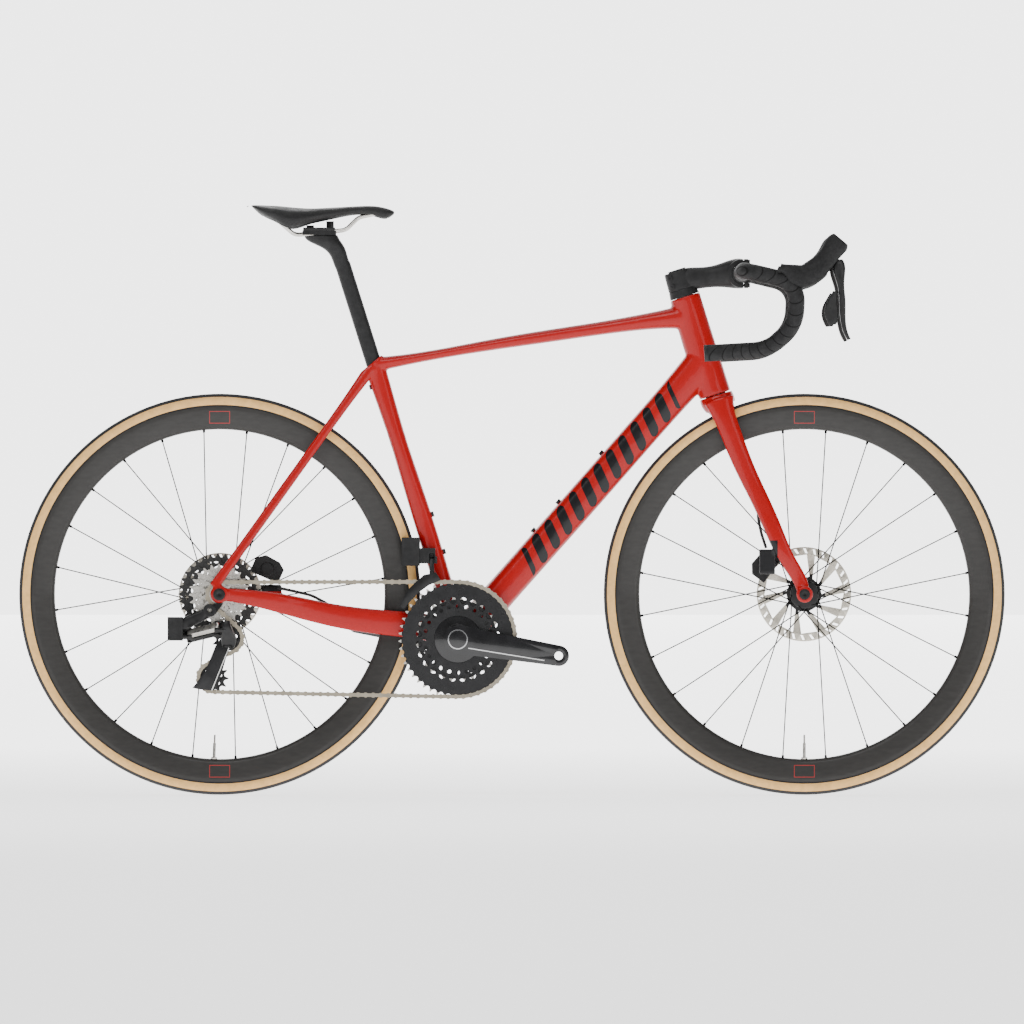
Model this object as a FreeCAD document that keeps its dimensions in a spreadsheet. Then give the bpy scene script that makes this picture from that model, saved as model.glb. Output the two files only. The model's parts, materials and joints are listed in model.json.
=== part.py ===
import FreeCAD, Part
import math
import os
import re
import Sketcher
from FreeCAD import Placement, Rotation, Vector

# Road bicycle with disc brakes and electronic shifting.
# Frame of the model: +X forward, +Y to the rider's left, +Z up, millimetres.
# The origin is on the ground, midway between the two axles.

DIMENSIONS = {
    # wheels
    "wheel_base": 988.0,
    "tyre_radius": 339.0,
    "tyre_width": 28.0,
    "tyre_wall": 1.8,
    "bead_width": 2.4,
    "rim_radius": 318.0,
    "rim_inner_radius": 278.5,
    "rim_bed_radius": 311.5,
    "rim_width": 27.0,
    "rim_hook": 2.7,
    "rim_nose": 9.5,
    "rim_nose_depth": 8.5,
    "rim_wall": 2.4,
    "spoke_count": 24,
    "spoke_radius": 1.0,
    "nipple_radius": 2.1,
    "nipple_length": 12.0,
    "valve_length": 41.0,
    # hubs, axles and rotors
    "front_hub_width": 100.0,
    "rear_hub_width": 142.0,
    "axle_radius": 6.0,
    "axle_clearance": 0.05,
    "hub_gap": 0.2,
    "hub_shell_radius": 11.0,
    "front_flange_radius": 24.0,
    "rear_flange_radius": 25.0,
    "flange_width": 3.5,
    "front_disc_flange": 24.0,
    "front_drive_flange": 33.0,
    "disc_flange": 33.0,
    "drive_flange": 20.5,
    "front_rotor_line": 39.5,
    "rear_rotor_line": 56.0,
    "front_rotor_radius": 80.0,
    "rear_rotor_radius": 70.0,
    "rotor_thickness": 1.8,
    "rotor_band": 13.0,
    "rotor_carrier": 30.0,
    # transmission
    "chain_pitch": 12.7,
    "roller_radius": 3.85,
    "seat_clearance": 0.12,
    "crank_drop": 76.0,
    "crank_setback": 402.5,
    "crank_length": 172.5,
    "crank_slope": 9.2,
    "arm_thickness": 13.0,
    "pedal_stance": 146.0,
    "pedal_thread_radius": 7.0,
    "spindle_radius": 14.45,
    "spindle_clearance": 0.05,
    "shell_width": 79.0,
    "shell_radius": 27.0,
    "cup_radius": 23.0,
    "cup_flange": 3.0,
    "big_teeth": 48,
    "small_teeth": 35,
    "ring_thickness": 1.8,
    "ring_line": 47.0,
    "ring_gap": 7.4,
    "first_cog_inset": 4.5,
    "cog_spacing": 3.35,
    "cog_thickness": 1.3,
    "pulley_teeth": 12,
    "freehub_radius": 17.0,
    # steering
    "head_angle": 72.7,
    "fork_offset": 43.0,
    "crown_rise": 353.0,
    "head_length": 174.0,
    "steerer_radius": 14.3,
    "steerer_base_radius": 16.0,
    "bearing_clearance": 0.05,
    "upper_bearing_radius": 20.5,
    "lower_bearing_radius": 22.0,
    "bearing_height": 7.0,
    "crown_gap": 1.0,
    "spacer_height": 13.0,
    "stem_reach": 104.0,
    "stem_height": 40.0,
    "bar_clamp_radius": 15.9,
    "bar_rise": 13.0,
    "bar_radius": 11.5,
    "bar_half_width": 203.0,
    "tape_thickness": 2.6,
    # seat
    "seat_angle": 72.5,
    "seat_tube_top": 492.0,
    "post_foot_rise": 330.0,
    "post_length": 335.0,
    "post_depth": 26.5,
    "post_width": 23.0,
    "post_clearance": 0.05,
    "rail_radius": 3.5,
    "rail_spread": 44.0,
    "saddle_width": 143.0,
    # carbon dropouts
    "dropout_radius": 14.0,
    "front_dropout_depth": 10.0,
    "rear_dropout_depth": 8.0,
    "wheel_clearance": 8.0,
    # brakes
    "pad_gap": 0.35,
    "pad_thickness": 4.0,
    "caliper_wall": 9.0,
    "hose_radius": 2.5,
}

doc = FreeCAD.newDocument("road_bicycle")
sheet = doc.addObject("Spreadsheet::Sheet", "Dimensions")
for line, (alias, number) in enumerate(DIMENSIONS.items(), 1):
    sheet.set(f"A{line}", alias)
    sheet.set(f"B{line}", str(number))
    sheet.setAlias(f"B{line}", alias)
doc.recompute()

ALIAS = re.compile(r"\b([a-z]+_\w+)\b")
NODES = {}


def bound(formula):
    """The formula with each sheet alias written as a reference to the sheet."""
    return ALIAS.sub(r"Dimensions.\1", str(formula))


def size(formula):
    """The present value of a formula of sheet aliases."""
    return float(sheet.evalExpression(bound(formula)))


# ---------------------------------------------------------------- features with bound sizes

def plane_of(body, role):
    """One of the body's own origin planes."""
    return next(item for item in body.Origin.OriginFeatures if item.Role == role)


def tie(sketch, kind, *place, to):
    """A driving constraint whose value follows the sheet."""
    index = sketch.addConstraint(Sketcher.Constraint(kind, *place, size(to)))
    sketch.setExpression(f"Constraints[{index}]", bound(to))


def add_chain(sketch, corners):
    """A closed chain of lines; a corner with a third entry starts an arc of that radius, bulging right."""
    points = [Vector(size(corner[0]), size(corner[1]), 0) for corner in corners]
    edges = []
    for start, end, corner in zip(points, points[1:] + points[:1], corners):
        edge = Part.LineSegment(start, end)
        if len(corner) == 3:
            radius = size(corner[2])
            chord = end - start
            side = Vector(chord.y, -chord.x, 0).normalize()
            rise = abs(radius) - math.sqrt(max(radius ** 2 - (chord.Length / 2) ** 2, 0))
            edge = Part.Arc(start, (start + end) / 2 + side * math.copysign(rise, radius), end)
        edges.append(sketch.addGeometry(edge))
    for here, (edge, start, corner) in enumerate(zip(edges, points, corners)):
        ends = [n for n in (1, 2) if (sketch.getPoint(edge, n) - start).Length < 1e-6]
        before = edges[here - 1]
        ends_before = [n for n in (1, 2) if (sketch.getPoint(before, n) - start).Length < 1e-6]
        sketch.addConstraint(Sketcher.Constraint("Coincident", before, ends_before[0], edge, ends[0]))
        tie(sketch, "DistanceX", -1, 1, edge, ends[0], to=corner[0])
        tie(sketch, "DistanceY", -1, 1, edge, ends[0], to=corner[1])
        if len(corner) == 3:
            tie(sketch, "Radius", edge, to=f"abs({corner[2]})")


def add_circle(sketch, across, up, radius):
    """A circle whose centre and radius follow the sheet."""
    circle = Part.Circle(Vector(size(across), size(up), 0), Vector(0, 0, 1), size(radius))
    edge = sketch.addGeometry(circle)
    tie(sketch, "DistanceX", -1, 1, edge, 3, to=across)
    tie(sketch, "DistanceY", -1, 1, edge, 3, to=up)
    tie(sketch, "Radius", edge, to=radius)


def add_sketch(body, role, loops, lift="0"):
    """A sketch on the body's own plane; a loop is a list of corners or one (across, up, radius) circle."""
    sketch = body.newObject("Sketcher::SketchObject", body.Name + "_sketch")
    sketch.AttachmentSupport = [(plane_of(body, role), "")]
    sketch.MapMode = "FlatFace"
    sketch.setExpression("AttachmentOffset.Base.z", bound(lift))
    for loop in loops:
        if isinstance(loop, tuple):
            add_circle(sketch, *loop)
        else:
            add_chain(sketch, loop)
    return sketch


def new_body(label, place=None):
    """An empty body that will be written out under its label."""
    body = doc.addObject("PartDesign::Body", label)
    body.Label = label
    if place:
        body.Placement = place
    NODES[label] = body
    return body


def turned(label, loops, place=None):
    """A body of revolution about its own Y axis; each loop lists (radius, y) corners."""
    body = new_body(label, place)
    spin = body.newObject("PartDesign::Revolution", label + "_turn")
    spin.Profile = (add_sketch(body, "XY_Plane", loops), [""])
    spin.ReferenceAxis = (spin.Profile[0], ["V_Axis"])
    spin.Angle = 360
    body.Tip = spin
    return body


def add_pad(body, loops, top, thickness):
    """A side-view outline padded from y = top down to y = top - thickness."""
    pad = body.newObject("PartDesign::Pad", body.Name + "_pad")
    pad.Profile = (add_sketch(body, "XZ_Plane", loops, lift=f"-({top})"), [""])
    pad.setExpression("Length", bound(thickness))
    body.Tip = pad
    return pad


def plate(label, layers, place=None):
    """A body of side-view layers; each layer is (loops, top, thickness)."""
    body = new_body(label, place)
    for loops, top, thickness in layers:
        add_pad(body, loops, top, thickness)
    return body


def solid(label, shape, place=None):
    """A piece whose shape comes from curves that no feature holds."""
    item = doc.addObject("Part::Feature", label)
    item.Label = label
    item.Shape = shape
    if place:
        item.Placement = place
    NODES[label] = item
    return item


# ---------------------------------------------------------------- free-form shape helpers

RING_POINTS = 16


def ring(centre, deep, wide, depth, width, squareness=2.3):
    """A smooth closed section: a superellipse of depth along deep and width along wide."""
    points = []
    for step in range(RING_POINTS):
        turn = 2 * math.pi * step / RING_POINTS
        along = math.copysign(abs(math.cos(turn)) ** (2 / squareness), math.cos(turn))
        across = math.copysign(abs(math.sin(turn)) ** (2 / squareness), math.sin(turn))
        points.append(centre + deep * (along * depth / 2) + wide * (across * width / 2))
    curve = Part.BSplineCurve()
    curve.interpolate(points, PeriodicFlag=True)
    return Part.Wire([curve.toShape()])


def tube(stations, squareness=2.3):
    """A solid lofted through (x, y, z, depth, width) stations, each square to the centre line."""
    spots = [Vector(*station[:3]) for station in stations]
    rings = []
    for here, station in enumerate(stations):
        before = spots[max(here - 1, 0)]
        after = spots[min(here + 1, len(spots) - 1)]
        run = (after - before).normalize()
        deep = run.cross(Vector(0, 1, 0)).normalize()
        wide = deep.cross(run).normalize()
        rings.append(ring(spots[here], deep, wide, station[3], station[4], squareness))
    return Part.makeLoft(rings, True, False)


def rod(points, radius, bend):
    """A round rod along straight runs joined by tangent arcs."""
    route = bent_path(points, bend)
    start = points[0]
    profile = Part.Wire([Part.Circle(start, points[1] - start, radius).toShape()])
    return route.makePipeShell([profile], True, True)


def bent_path(points, bend):
    """A wire of straight runs with an arc of radius bend at each corner, smaller where runs are short."""
    edges = []
    last = points[0]
    for before, corner, after in zip(points, points[1:], points[2:]):
        back = (before - corner).normalize()
        on = (after - corner).normalize()
        half = back.getAngle(on) / 2
        room = 0.45 * min((before - corner).Length, (after - corner).Length)
        setback = min(bend / math.tan(half), room)
        first = corner + back * setback
        final = corner + on * setback
        middle = (back + on).normalize()
        reach = setback / math.cos(half) - setback * math.tan(half)
        edges.append(Part.LineSegment(last, first).toShape())
        edges.append(Part.Arc(first, corner + middle * reach, final).toShape())
        last = final
    edges.append(Part.LineSegment(last, points[-1]).toShape())
    return Part.Wire(edges)


def mirrored(shape):
    """The shape's twin on the other side of the bicycle."""
    return shape.mirror(Vector(0, 0, 0), Vector(0, 1, 0))


def cylinder(radius, length, foot, axis):
    """A plain cylinder from its foot along its axis."""
    return Part.makeCylinder(radius, length, foot, axis)


def bolt(foot, axis, radius, length, head_radius, head_height):
    """A socket-head bolt whose head sits on foot and whose shank runs against axis."""
    axis = Vector(axis).normalize()
    shank = cylinder(radius, length + 1, foot - axis * length, axis)
    head = cylinder(head_radius, head_height, foot, axis)
    socket = cylinder(head_radius / 2, head_height * 0.7, foot + axis * head_height * 0.4, axis)
    return shank.fuse(head).cut(socket)


LEFT = Vector(0, 1, 0)

# ---------------------------------------------------------------- main places

WHEEL_RADIUS = size("tyre_radius")
FRONT_AXLE = Vector(size("wheel_base / 2"), 0, WHEEL_RADIUS)
REAR_AXLE = Vector(-size("wheel_base / 2"), 0, WHEEL_RADIUS)
CRANK_CENTRE = Vector(REAR_AXLE.x + size("crank_setback"), 0, WHEEL_RADIUS - size("crank_drop"))
HEAD_TILT = math.radians(90 - size("head_angle"))
UP_HEAD = Vector(-math.sin(HEAD_TILT), 0, math.cos(HEAD_TILT))
AHEAD = Vector(math.cos(HEAD_TILT), 0, math.sin(HEAD_TILT))
HEAD_FOOT = FRONT_AXLE - Vector(size("fork_offset") / math.cos(HEAD_TILT), 0, 0)
SEAT_TILT = math.radians(90 - size("seat_angle"))
UP_SEAT = Vector(-math.sin(SEAT_TILT), 0, math.cos(SEAT_TILT))
SEAT_BACK = Vector(-math.cos(SEAT_TILT), 0, -math.sin(SEAT_TILT))


def at_head(rise, ahead=0.0, left=0.0):
    """A point given along the steering axis, measured up from axle height, and square to it."""
    return HEAD_FOOT + UP_HEAD * rise + AHEAD * ahead + LEFT * left


def at_seat(rise, back=0.0, left=0.0):
    """A point given along the seat line, measured up from the crank centre, and square to it."""
    return CRANK_CENTRE + Vector(5, 0, 0) + UP_SEAT * rise + SEAT_BACK * back + LEFT * left

# ---------------------------------------------------------------- wheels


def tyre(label, centre):
    """A clincher casing with its two beads hooked in the rim."""
    edge = "rim_radius + 0.3"
    outer = "tyre_width / 2"
    inner = "tyre_width / 2 - tyre_wall"
    mid = "tyre_radius - tyre_width / 2"
    foot = f"sqrt(({outer}) ^ 2 - ({mid} - rim_radius - 0.3) ^ 2)"
    inner_foot = f"sqrt(({inner}) ^ 2 - ({mid} - rim_radius - 1.5) ^ 2)"
    hook = "rim_width / 2 - rim_hook - 0.3"
    loop = [
        (edge, f"-{foot}", outer),
        ("tyre_radius", "0", outer),
        (edge, foot),
        (edge, hook),
        ("rim_bed_radius + 0.3", hook),
        ("rim_bed_radius + 0.3", f"{hook} - bead_width"),
        ("rim_bed_radius + 4", f"{hook} - bead_width"),
        ("rim_radius + 1.5", inner_foot, f"-({inner})"),
        ("tyre_radius - tyre_wall", "0", f"-({inner})"),
        ("rim_radius + 1.5", f"-{inner_foot}"),
        ("rim_bed_radius + 4", f"-({hook} - bead_width)"),
        ("rim_bed_radius + 0.3", f"-({hook} - bead_width)"),
        ("rim_bed_radius + 0.3", f"-({hook})"),
        (edge, f"-({hook})"),
    ]
    return turned(label, [loop], Placement(centre, Rotation()))


def rim(label, centre):
    """A deep hollow carbon rim with hooked walls and a rounded nose."""
    flank = "110"
    nose = "rim_inner_radius + rim_nose_depth"
    nose_arc = "(rim_nose ^ 2 + rim_nose_depth ^ 2) / (2 * rim_nose_depth)"
    half = "rim_width / 2"
    hook = "rim_width / 2 - rim_hook"
    shell = [
        ("rim_radius", f"-({hook})"),
        ("rim_bed_radius", f"-({hook})"),
        ("rim_bed_radius - 3", "-4"),
        ("rim_bed_radius - 3", "4"),
        ("rim_bed_radius", hook),
        ("rim_radius", hook),
        ("rim_radius", half, flank),
        (nose, "rim_nose", nose_arc),
        (nose, "-rim_nose", flank),
        ("rim_radius", f"-({half})"),
    ]
    top = "rim_bed_radius - 3 - rim_wall"
    cavity = [
        (top, f"-({half} - 2 * rim_wall)"),
        (top, f"{half} - 2 * rim_wall"),
        (nose, "rim_nose - rim_wall"),
        ("rim_inner_radius + 2 * rim_wall", "2"),
        ("rim_inner_radius + 2 * rim_wall", "-2"),
        (nose, "-(rim_nose - rim_wall)"),
    ]
    return turned(label, [shell, cavity], Placement(centre, Rotation()))


def spokes(label, centre, flange_radius, left_flange, right_flange, turn):
    """Crossed spokes and their nipples: sides alternate, and each side leans forward and back by turns."""
    count = int(size("spoke_count"))
    lean = math.radians(65)
    foot_radius = flange_radius - 2.5
    stagger = size("flange_width / 2") - 0.15
    meet = size("rim_inner_radius") - 4
    solids = []
    for number in range(count):
        angle = math.radians(turn) + 2 * math.pi * (number + 0.5) / count
        leaning = -lean if number % 4 < 2 else lean
        side = (left_flange if number % 2 else right_flange) + math.copysign(stagger, leaning)
        start = Vector(math.cos(angle + leaning), 0, math.sin(angle + leaning)) * foot_radius + LEFT * side
        end = Vector(math.cos(angle), 0, math.sin(angle)) * size("rim_inner_radius")
        along = (end - start).normalize()
        joint = start + along * ((end - start).Length - (size("rim_inner_radius") - meet))
        solids.append(cylinder(size("spoke_radius"), (joint - start).Length, start, along))
        solids.append(cylinder(size("nipple_radius"), size("nipple_length"), joint, along))
    return solid(label, Part.makeCompound(solids), Placement(centre, Rotation()))


def hub(label, centre, half_width, flange_radius, left_flange, right_flange, right_end):
    """A turned hub shell with two flanges, bored for the thru-axle."""
    bore = "axle_radius + axle_clearance"
    flange = "flange_width / 2"
    lower, upper = f"-({right_flange})", left_flange
    loop = [
        (bore, f"-({right_end})"),
        ("hub_shell_radius", f"-({right_end})"),
        ("hub_shell_radius", f"{lower} - {flange} - 1"),
        (flange_radius, f"{lower} - {flange}"),
        (flange_radius, f"{lower} + {flange}"),
        ("hub_shell_radius + 2", f"{lower} + {flange} + 4"),
        ("hub_shell_radius", f"{lower} + {flange} + 12"),
        ("hub_shell_radius", f"{upper} - {flange} - 12"),
        ("hub_shell_radius + 2", f"{upper} - {flange} - 4"),
        (flange_radius, f"{upper} - {flange}"),
        (flange_radius, f"{upper} + {flange}"),
        ("hub_shell_radius + 3", f"{upper} + {flange} + 1"),
        ("hub_shell_radius + 3", f"{half_width} - 6"),
        ("hub_shell_radius - 1", f"{half_width} - 6"),
        ("hub_shell_radius - 1", f"{half_width} - hub_gap"),
        (bore, f"{half_width} - hub_gap"),
    ]
    return turned(label, [loop], Placement(centre, Rotation()))


ROTOR_ARMS = 10


def rotor(label, centre, radius, line):
    """A brake disc: a vented band on slanted arms around a splined carrier."""
    body = new_body(label, Placement(centre, Rotation()))
    top = f"{line} + rotor_thickness / 2"
    rim_edge = f"{radius} - rotor_band"
    add_pad(body, [("0", "0", radius), ("0", "0", "hub_shell_radius + 3.1")], top, "rotor_thickness")
    doc.recompute()

    def polar(reach, degrees):
        return (f"({reach}) * cos({degrees} deg)", f"({reach}) * sin({degrees} deg)")

    carrier = "rotor_carrier"
    step = 360 / ROTOR_ARMS
    window = [
        polar(carrier, 0),
        polar(rim_edge, 14),
        polar(rim_edge, 14 + step * 0.66),
        polar(carrier, step * 0.7),
    ]
    slot = [
        polar(f"{radius} - rotor_band * 0.82", 1),
        polar(f"{radius} - rotor_band * 0.2", 4),
        polar(f"{radius} - rotor_band * 0.2", 7),
        polar(f"{radius} - rotor_band * 0.82", 4),
    ]
    for name, loop, count in (("window", window, ROTOR_ARMS), ("slot", slot, 3 * ROTOR_ARMS)):
        cut = body.newObject("PartDesign::Pocket", f"{label}_{name}")
        profile = add_sketch(body, "XZ_Plane", [loop])
        cut.Profile = (profile, [""])
        cut.Type = "ThroughAll"
        cut.Midplane = True
        doc.recompute()
        repeat = body.newObject("PartDesign::PolarPattern", f"{label}_{name}s")
        repeat.Originals = [cut]
        repeat.Axis = (profile, ["N_Axis"])
        repeat.Angle = 360
        repeat.Occurrences = count
        body.Tip = repeat
        doc.recompute()
    return body


def valve(label, centre, turn):
    """A slim threaded valve stem with its lock ring and cap, standing inwards from the rim."""
    tip = size("rim_inner_radius") - size("valve_length")
    stem = cylinder(2.6, size("valve_length") - 14, Vector(0, 0, -tip - 14), Vector(0, 0, -1))
    needle = cylinder(1.6, 14, Vector(0, 0, -tip), Vector(0, 0, -1))
    nut = cylinder(5.2, 3, Vector(0, 0, -size("rim_inner_radius") + 3), Vector(0, 0, -1))
    place = Placement(centre, Rotation(LEFT, turn))
    return solid(label, stem.multiFuse([needle, nut]), place)


REAR_TURN = 2.0


def build_wheels():
    """Both wheels; the rear one stands turned a little from the front one."""
    tyre("front_tyre", FRONT_AXLE)
    tyre("rear_tyre", REAR_AXLE)
    rim("front_rim", FRONT_AXLE)
    rim("rear_rim", REAR_AXLE)
    spokes("front_spokes", FRONT_AXLE, size("front_flange_radius"),
           size("front_disc_flange"), -size("front_drive_flange"), 0)
    spokes("rear_spokes", REAR_AXLE, size("rear_flange_radius"),
           size("disc_flange"), -size("drive_flange"), -REAR_TURN)
    hub("front_hub", FRONT_AXLE, "front_hub_width / 2", "front_flange_radius",
        "front_disc_flange", "front_drive_flange", "front_hub_width / 2 - hub_gap")
    hub("rear_hub", REAR_AXLE, "rear_hub_width / 2", "rear_flange_radius",
        "disc_flange", "drive_flange", "drive_flange + flange_width")
    rotor("front_rotor", FRONT_AXLE, "front_rotor_radius", "front_rotor_line")
    rotor("rear_rotor", REAR_AXLE, "rear_rotor_radius", "rear_rotor_line")
    valve("front_valve", FRONT_AXLE, 0)
    valve("rear_valve", REAR_AXLE, REAR_TURN)


# ---------------------------------------------------------------- toothed wheels and the chain

PITCH = size("chain_pitch")
SEAT_RADIUS = size("roller_radius + seat_clearance")
TOOTH_RISE = 3.0
TIP_HALF = 0.8


def pitch_radius(teeth):
    """The radius at which the roller centres lie."""
    return PITCH / (2 * math.sin(math.pi / teeth))


def toothed_face(teeth, first_gap):
    """A sprocket outline with a roller seat centred at the angle first_gap and at each pitch after it."""
    radius = pitch_radius(teeth)
    step = 2 * math.pi / teeth
    tip = radius + TOOTH_RISE

    def seat_point(angle, swing):
        inward = Vector(-math.cos(angle), 0, -math.sin(angle))
        onward = Vector(-math.sin(angle), 0, math.cos(angle))
        centre = inward * -radius
        return centre + (inward * math.cos(swing) + onward * math.sin(swing)) * SEAT_RADIUS

    edges = []
    opening = math.radians(62)
    for gap in range(teeth):
        angle = first_gap + gap * step
        start = seat_point(angle, -opening)
        end = seat_point(angle, opening)
        half = TIP_HALF / tip
        tips = [angle + step / 2 - half, angle + step / 2 + half]
        low, high = [Vector(math.cos(turn) * tip, 0, math.sin(turn) * tip) for turn in tips]
        edges.append(Part.Arc(start, seat_point(angle, 0), end).toShape())
        edges.append(Part.LineSegment(end, low).toShape())
        edges.append(Part.LineSegment(low, high).toShape())
        edges.append(Part.LineSegment(high, seat_point(angle + step, -opening)).toShape())
    return Part.Face(Part.Wire(edges))


def sprocket(teeth, thickness, line, bore, first_gap=0.0):
    """A toothed disc centred on y = line, bored through."""
    disc = toothed_face(teeth, first_gap).extrude(LEFT * thickness)
    disc.translate(LEFT * (line - thickness / 2))
    return disc.cut(cylinder(bore, thickness * 2, LEFT * (line - thickness), LEFT))


def windows(shape, radius, hole, count, turn=0.0):
    """The shape with a ring of round holes of the given radius cut along Y."""
    holes = []
    for number in range(count):
        angle = math.radians(turn) + 2 * math.pi * number / count
        foot = Vector(math.cos(angle) * radius, -200, math.sin(angle) * radius)
        holes.append(cylinder(hole, 400, foot, LEFT))
    return shape.cut(Part.makeCompound(holes))


COGS = [10, 11, 12, 13, 14, 15, 17, 19, 21, 24, 28, 33]
COG_LINE = -size("rear_hub_width / 2 - first_cog_inset")
RING_LINE = -size("ring_line")
GUIDE_PULLEY = REAR_AXLE + Vector(15, COG_LINE, -74)
CAGE_LENGTH = 71.2


def tangent(first, first_radius, second, second_radius, crossed=False, side=1):
    """A straight run that touches two circles: it leaves on the given side and may cross between them."""
    gap = second - first
    gap.y = 0
    reach = gap.Length
    heading = math.atan2(gap.z, gap.x)
    spread = first_radius + second_radius if crossed else first_radius - second_radius
    lift = math.acos(spread / reach)
    leave = heading + side * lift
    arrive = leave + math.pi if crossed else leave
    start = first + Vector(math.cos(leave), 0, math.sin(leave)) * first_radius
    end = second + Vector(math.cos(arrive), 0, math.sin(arrive)) * second_radius
    return start, end, leave, arrive


def chain_route(cage_angle):
    """The stretches of the chain, as (links, point function), for a cage hanging at cage_angle."""
    ring, cog, pulley = [pitch_radius(size(n)) for n in ("big_teeth", COGS[0], "pulley_teeth")]
    ring_at = CRANK_CENTRE + LEFT * RING_LINE
    cog_at = REAR_AXLE + LEFT * COG_LINE
    tension = GUIDE_PULLEY + Vector(math.cos(cage_angle), 0, math.sin(cage_angle)) * CAGE_LENGTH
    ring_teeth, pulley_teeth = size("big_teeth"), size("pulley_teeth")
    top = tangent(cog_at, cog, ring_at, ring)
    # the chain goes forward over the top, round the ring clockwise, back to the tension pulley,
    # round it clockwise, up to the guide pulley counter-clockwise, and onto the cog clockwise
    low = tangent(ring_at, ring, tension, pulley)
    between = tangent(tension, pulley, GUIDE_PULLEY, pulley, crossed=True)
    last = tangent(GUIDE_PULLEY, pulley, cog_at, cog, crossed=True, side=-1)
    wheels = [
        (ring_at, ring, ring_teeth, top[3], low[2], -1),
        (tension, pulley, pulley_teeth, low[3], between[2], -1),
        (GUIDE_PULLEY, pulley, pulley_teeth, between[3], last[2], 1),
        (cog_at, cog, COGS[0], last[3], top[2], -1),
    ]
    runs = [top, low, between, last]
    stretches = []
    for (start, end, _, _), (centre, radius, teeth, enter, leave, sense) in zip(runs, wheels):
        length = (end - start).Length
        stretches.append((length / PITCH, straight_points(start, end)))
        turn = (sense * (leave - enter)) % (2 * math.pi)
        stretches.append((turn * teeth / (2 * math.pi), arc_points(centre, radius, enter, sense * turn)))
    return stretches, tension


LEVEL_LINKS = 2.7


def straight_points(start, end):
    """A function from a share of the run to its point; the run shifts sideways only away from its ends."""
    links = (end - start).Length / PITCH
    level = min(LEVEL_LINKS / links, 0.4)

    def point(share):
        shift = min(max((share - level) / (1 - 2 * level), 0), 1)
        spot = start + (end - start) * share
        spot.y = start.y + (end.y - start.y) * shift
        return spot
    return point


def arc_points(centre, radius, enter, turn):
    """A function from a share of the arc to its point."""
    def point(share):
        angle = enter + turn * share
        return centre + Vector(math.cos(angle), 0, math.sin(angle)) * radius
    return point


def links_in(stretches):
    """How many pitches the whole route holds."""
    return sum(links for links, _ in stretches)


def hung_cage():
    """The cage angle near its hanging place at which the route holds an even whole number of links."""
    nominal = math.radians(-110)
    links = 2 * round(links_in(chain_route(nominal)[0]) / 2)
    low, high = nominal - math.radians(14), nominal + math.radians(14)
    rising = links_in(chain_route(high)[0]) > links_in(chain_route(low)[0])
    for _ in range(50):
        middle = (low + high) / 2
        if (links_in(chain_route(middle)[0]) > links) == rising:
            high = middle
        else:
            low = middle
    return middle, links


CAGE_ANGLE, LINKS = hung_cage()
ROUTE, TENSION_PULLEY = chain_route(CAGE_ANGLE)


def rollers():
    """The roller centres, one pitch apart along the route."""
    spots = []
    for number in range(LINKS):
        left = number * links_in(ROUTE) / LINKS
        for links, point in ROUTE:
            if left <= links:
                spots.append(point(left / links))
                break
            left -= links
    return spots


ROLLERS = rollers()


def gap_angle(centre, radius):
    """The direction from a wheel's centre to a roller that sits on it."""
    flat = [Vector(spot.x - centre.x, 0, spot.z - centre.z) for spot in ROLLERS]
    on = [arm for arm, spot in zip(flat, ROLLERS) if abs(arm.Length - radius) < 0.02 and abs(spot.y - centre.y) < 1]
    seated = on[len(on) // 2]
    return math.atan2(seated.z, seated.x)


def side_plate(reach, waist, inner, outer):
    """One pair of chain side plates of length one pitch, waisted between their round ends."""
    half = PITCH / 2
    edge = math.sqrt(reach ** 2 - waist ** 2)
    ends = [
        Part.Arc(Vector(half - edge, 0, waist), Vector(half + reach, 0, 0), Vector(half - edge, 0, -waist)),
        Part.LineSegment(Vector(half - edge, 0, -waist), Vector(edge - half, 0, -waist)),
        Part.Arc(Vector(edge - half, 0, -waist), Vector(-half - reach, 0, 0), Vector(edge - half, 0, waist)),
        Part.LineSegment(Vector(edge - half, 0, waist), Vector(half - edge, 0, waist)),
    ]
    plate_shape = Part.Face(Part.Wire([piece.toShape() for piece in ends])).extrude(LEFT * (outer - inner))
    near = plate_shape.copy()
    near.translate(LEFT * inner)
    return [near, near.mirror(Vector(0, 0, 0), LEFT)]


def chain():
    """Inner and outer links in turn, each one solid, all round the route."""
    half = PITCH / 2
    bore = 1.9
    inner_plates = side_plate(4.2, 3.0, 1.08, 1.78)
    outer_plates = side_plate(4.2, 3.0, 1.84, 2.54)
    barrels = [cylinder(size("roller_radius"), 2.2, Vector(x, -1.1, 0), LEFT) for x in (half, -half)]
    bores = [cylinder(bore, 8, Vector(x, -4, 0), LEFT) for x in (half, -half)]
    pins = [cylinder(bore - 0.08, 5.3, Vector(x, -2.65, 0), LEFT) for x in (half, -half)]
    inner = inner_plates[0].multiFuse(inner_plates[1:] + barrels).cut(Part.makeCompound(bores))
    outer = outer_plates[0].multiFuse(outer_plates[1:] + pins)
    placed = []
    for number, (here, there) in enumerate(zip(ROLLERS, ROLLERS[1:] + ROLLERS[:1])):
        link = (inner if number % 2 else outer).copy()
        along = (there - here).normalize()
        up = along.cross(LEFT).normalize() * -1
        turn = Rotation(along, up.cross(along), up, "XZY")
        link.Placement = Placement((here + there) / 2, turn)
        placed.append(link)
    return solid("chain", Part.makeCompound(placed))


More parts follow.
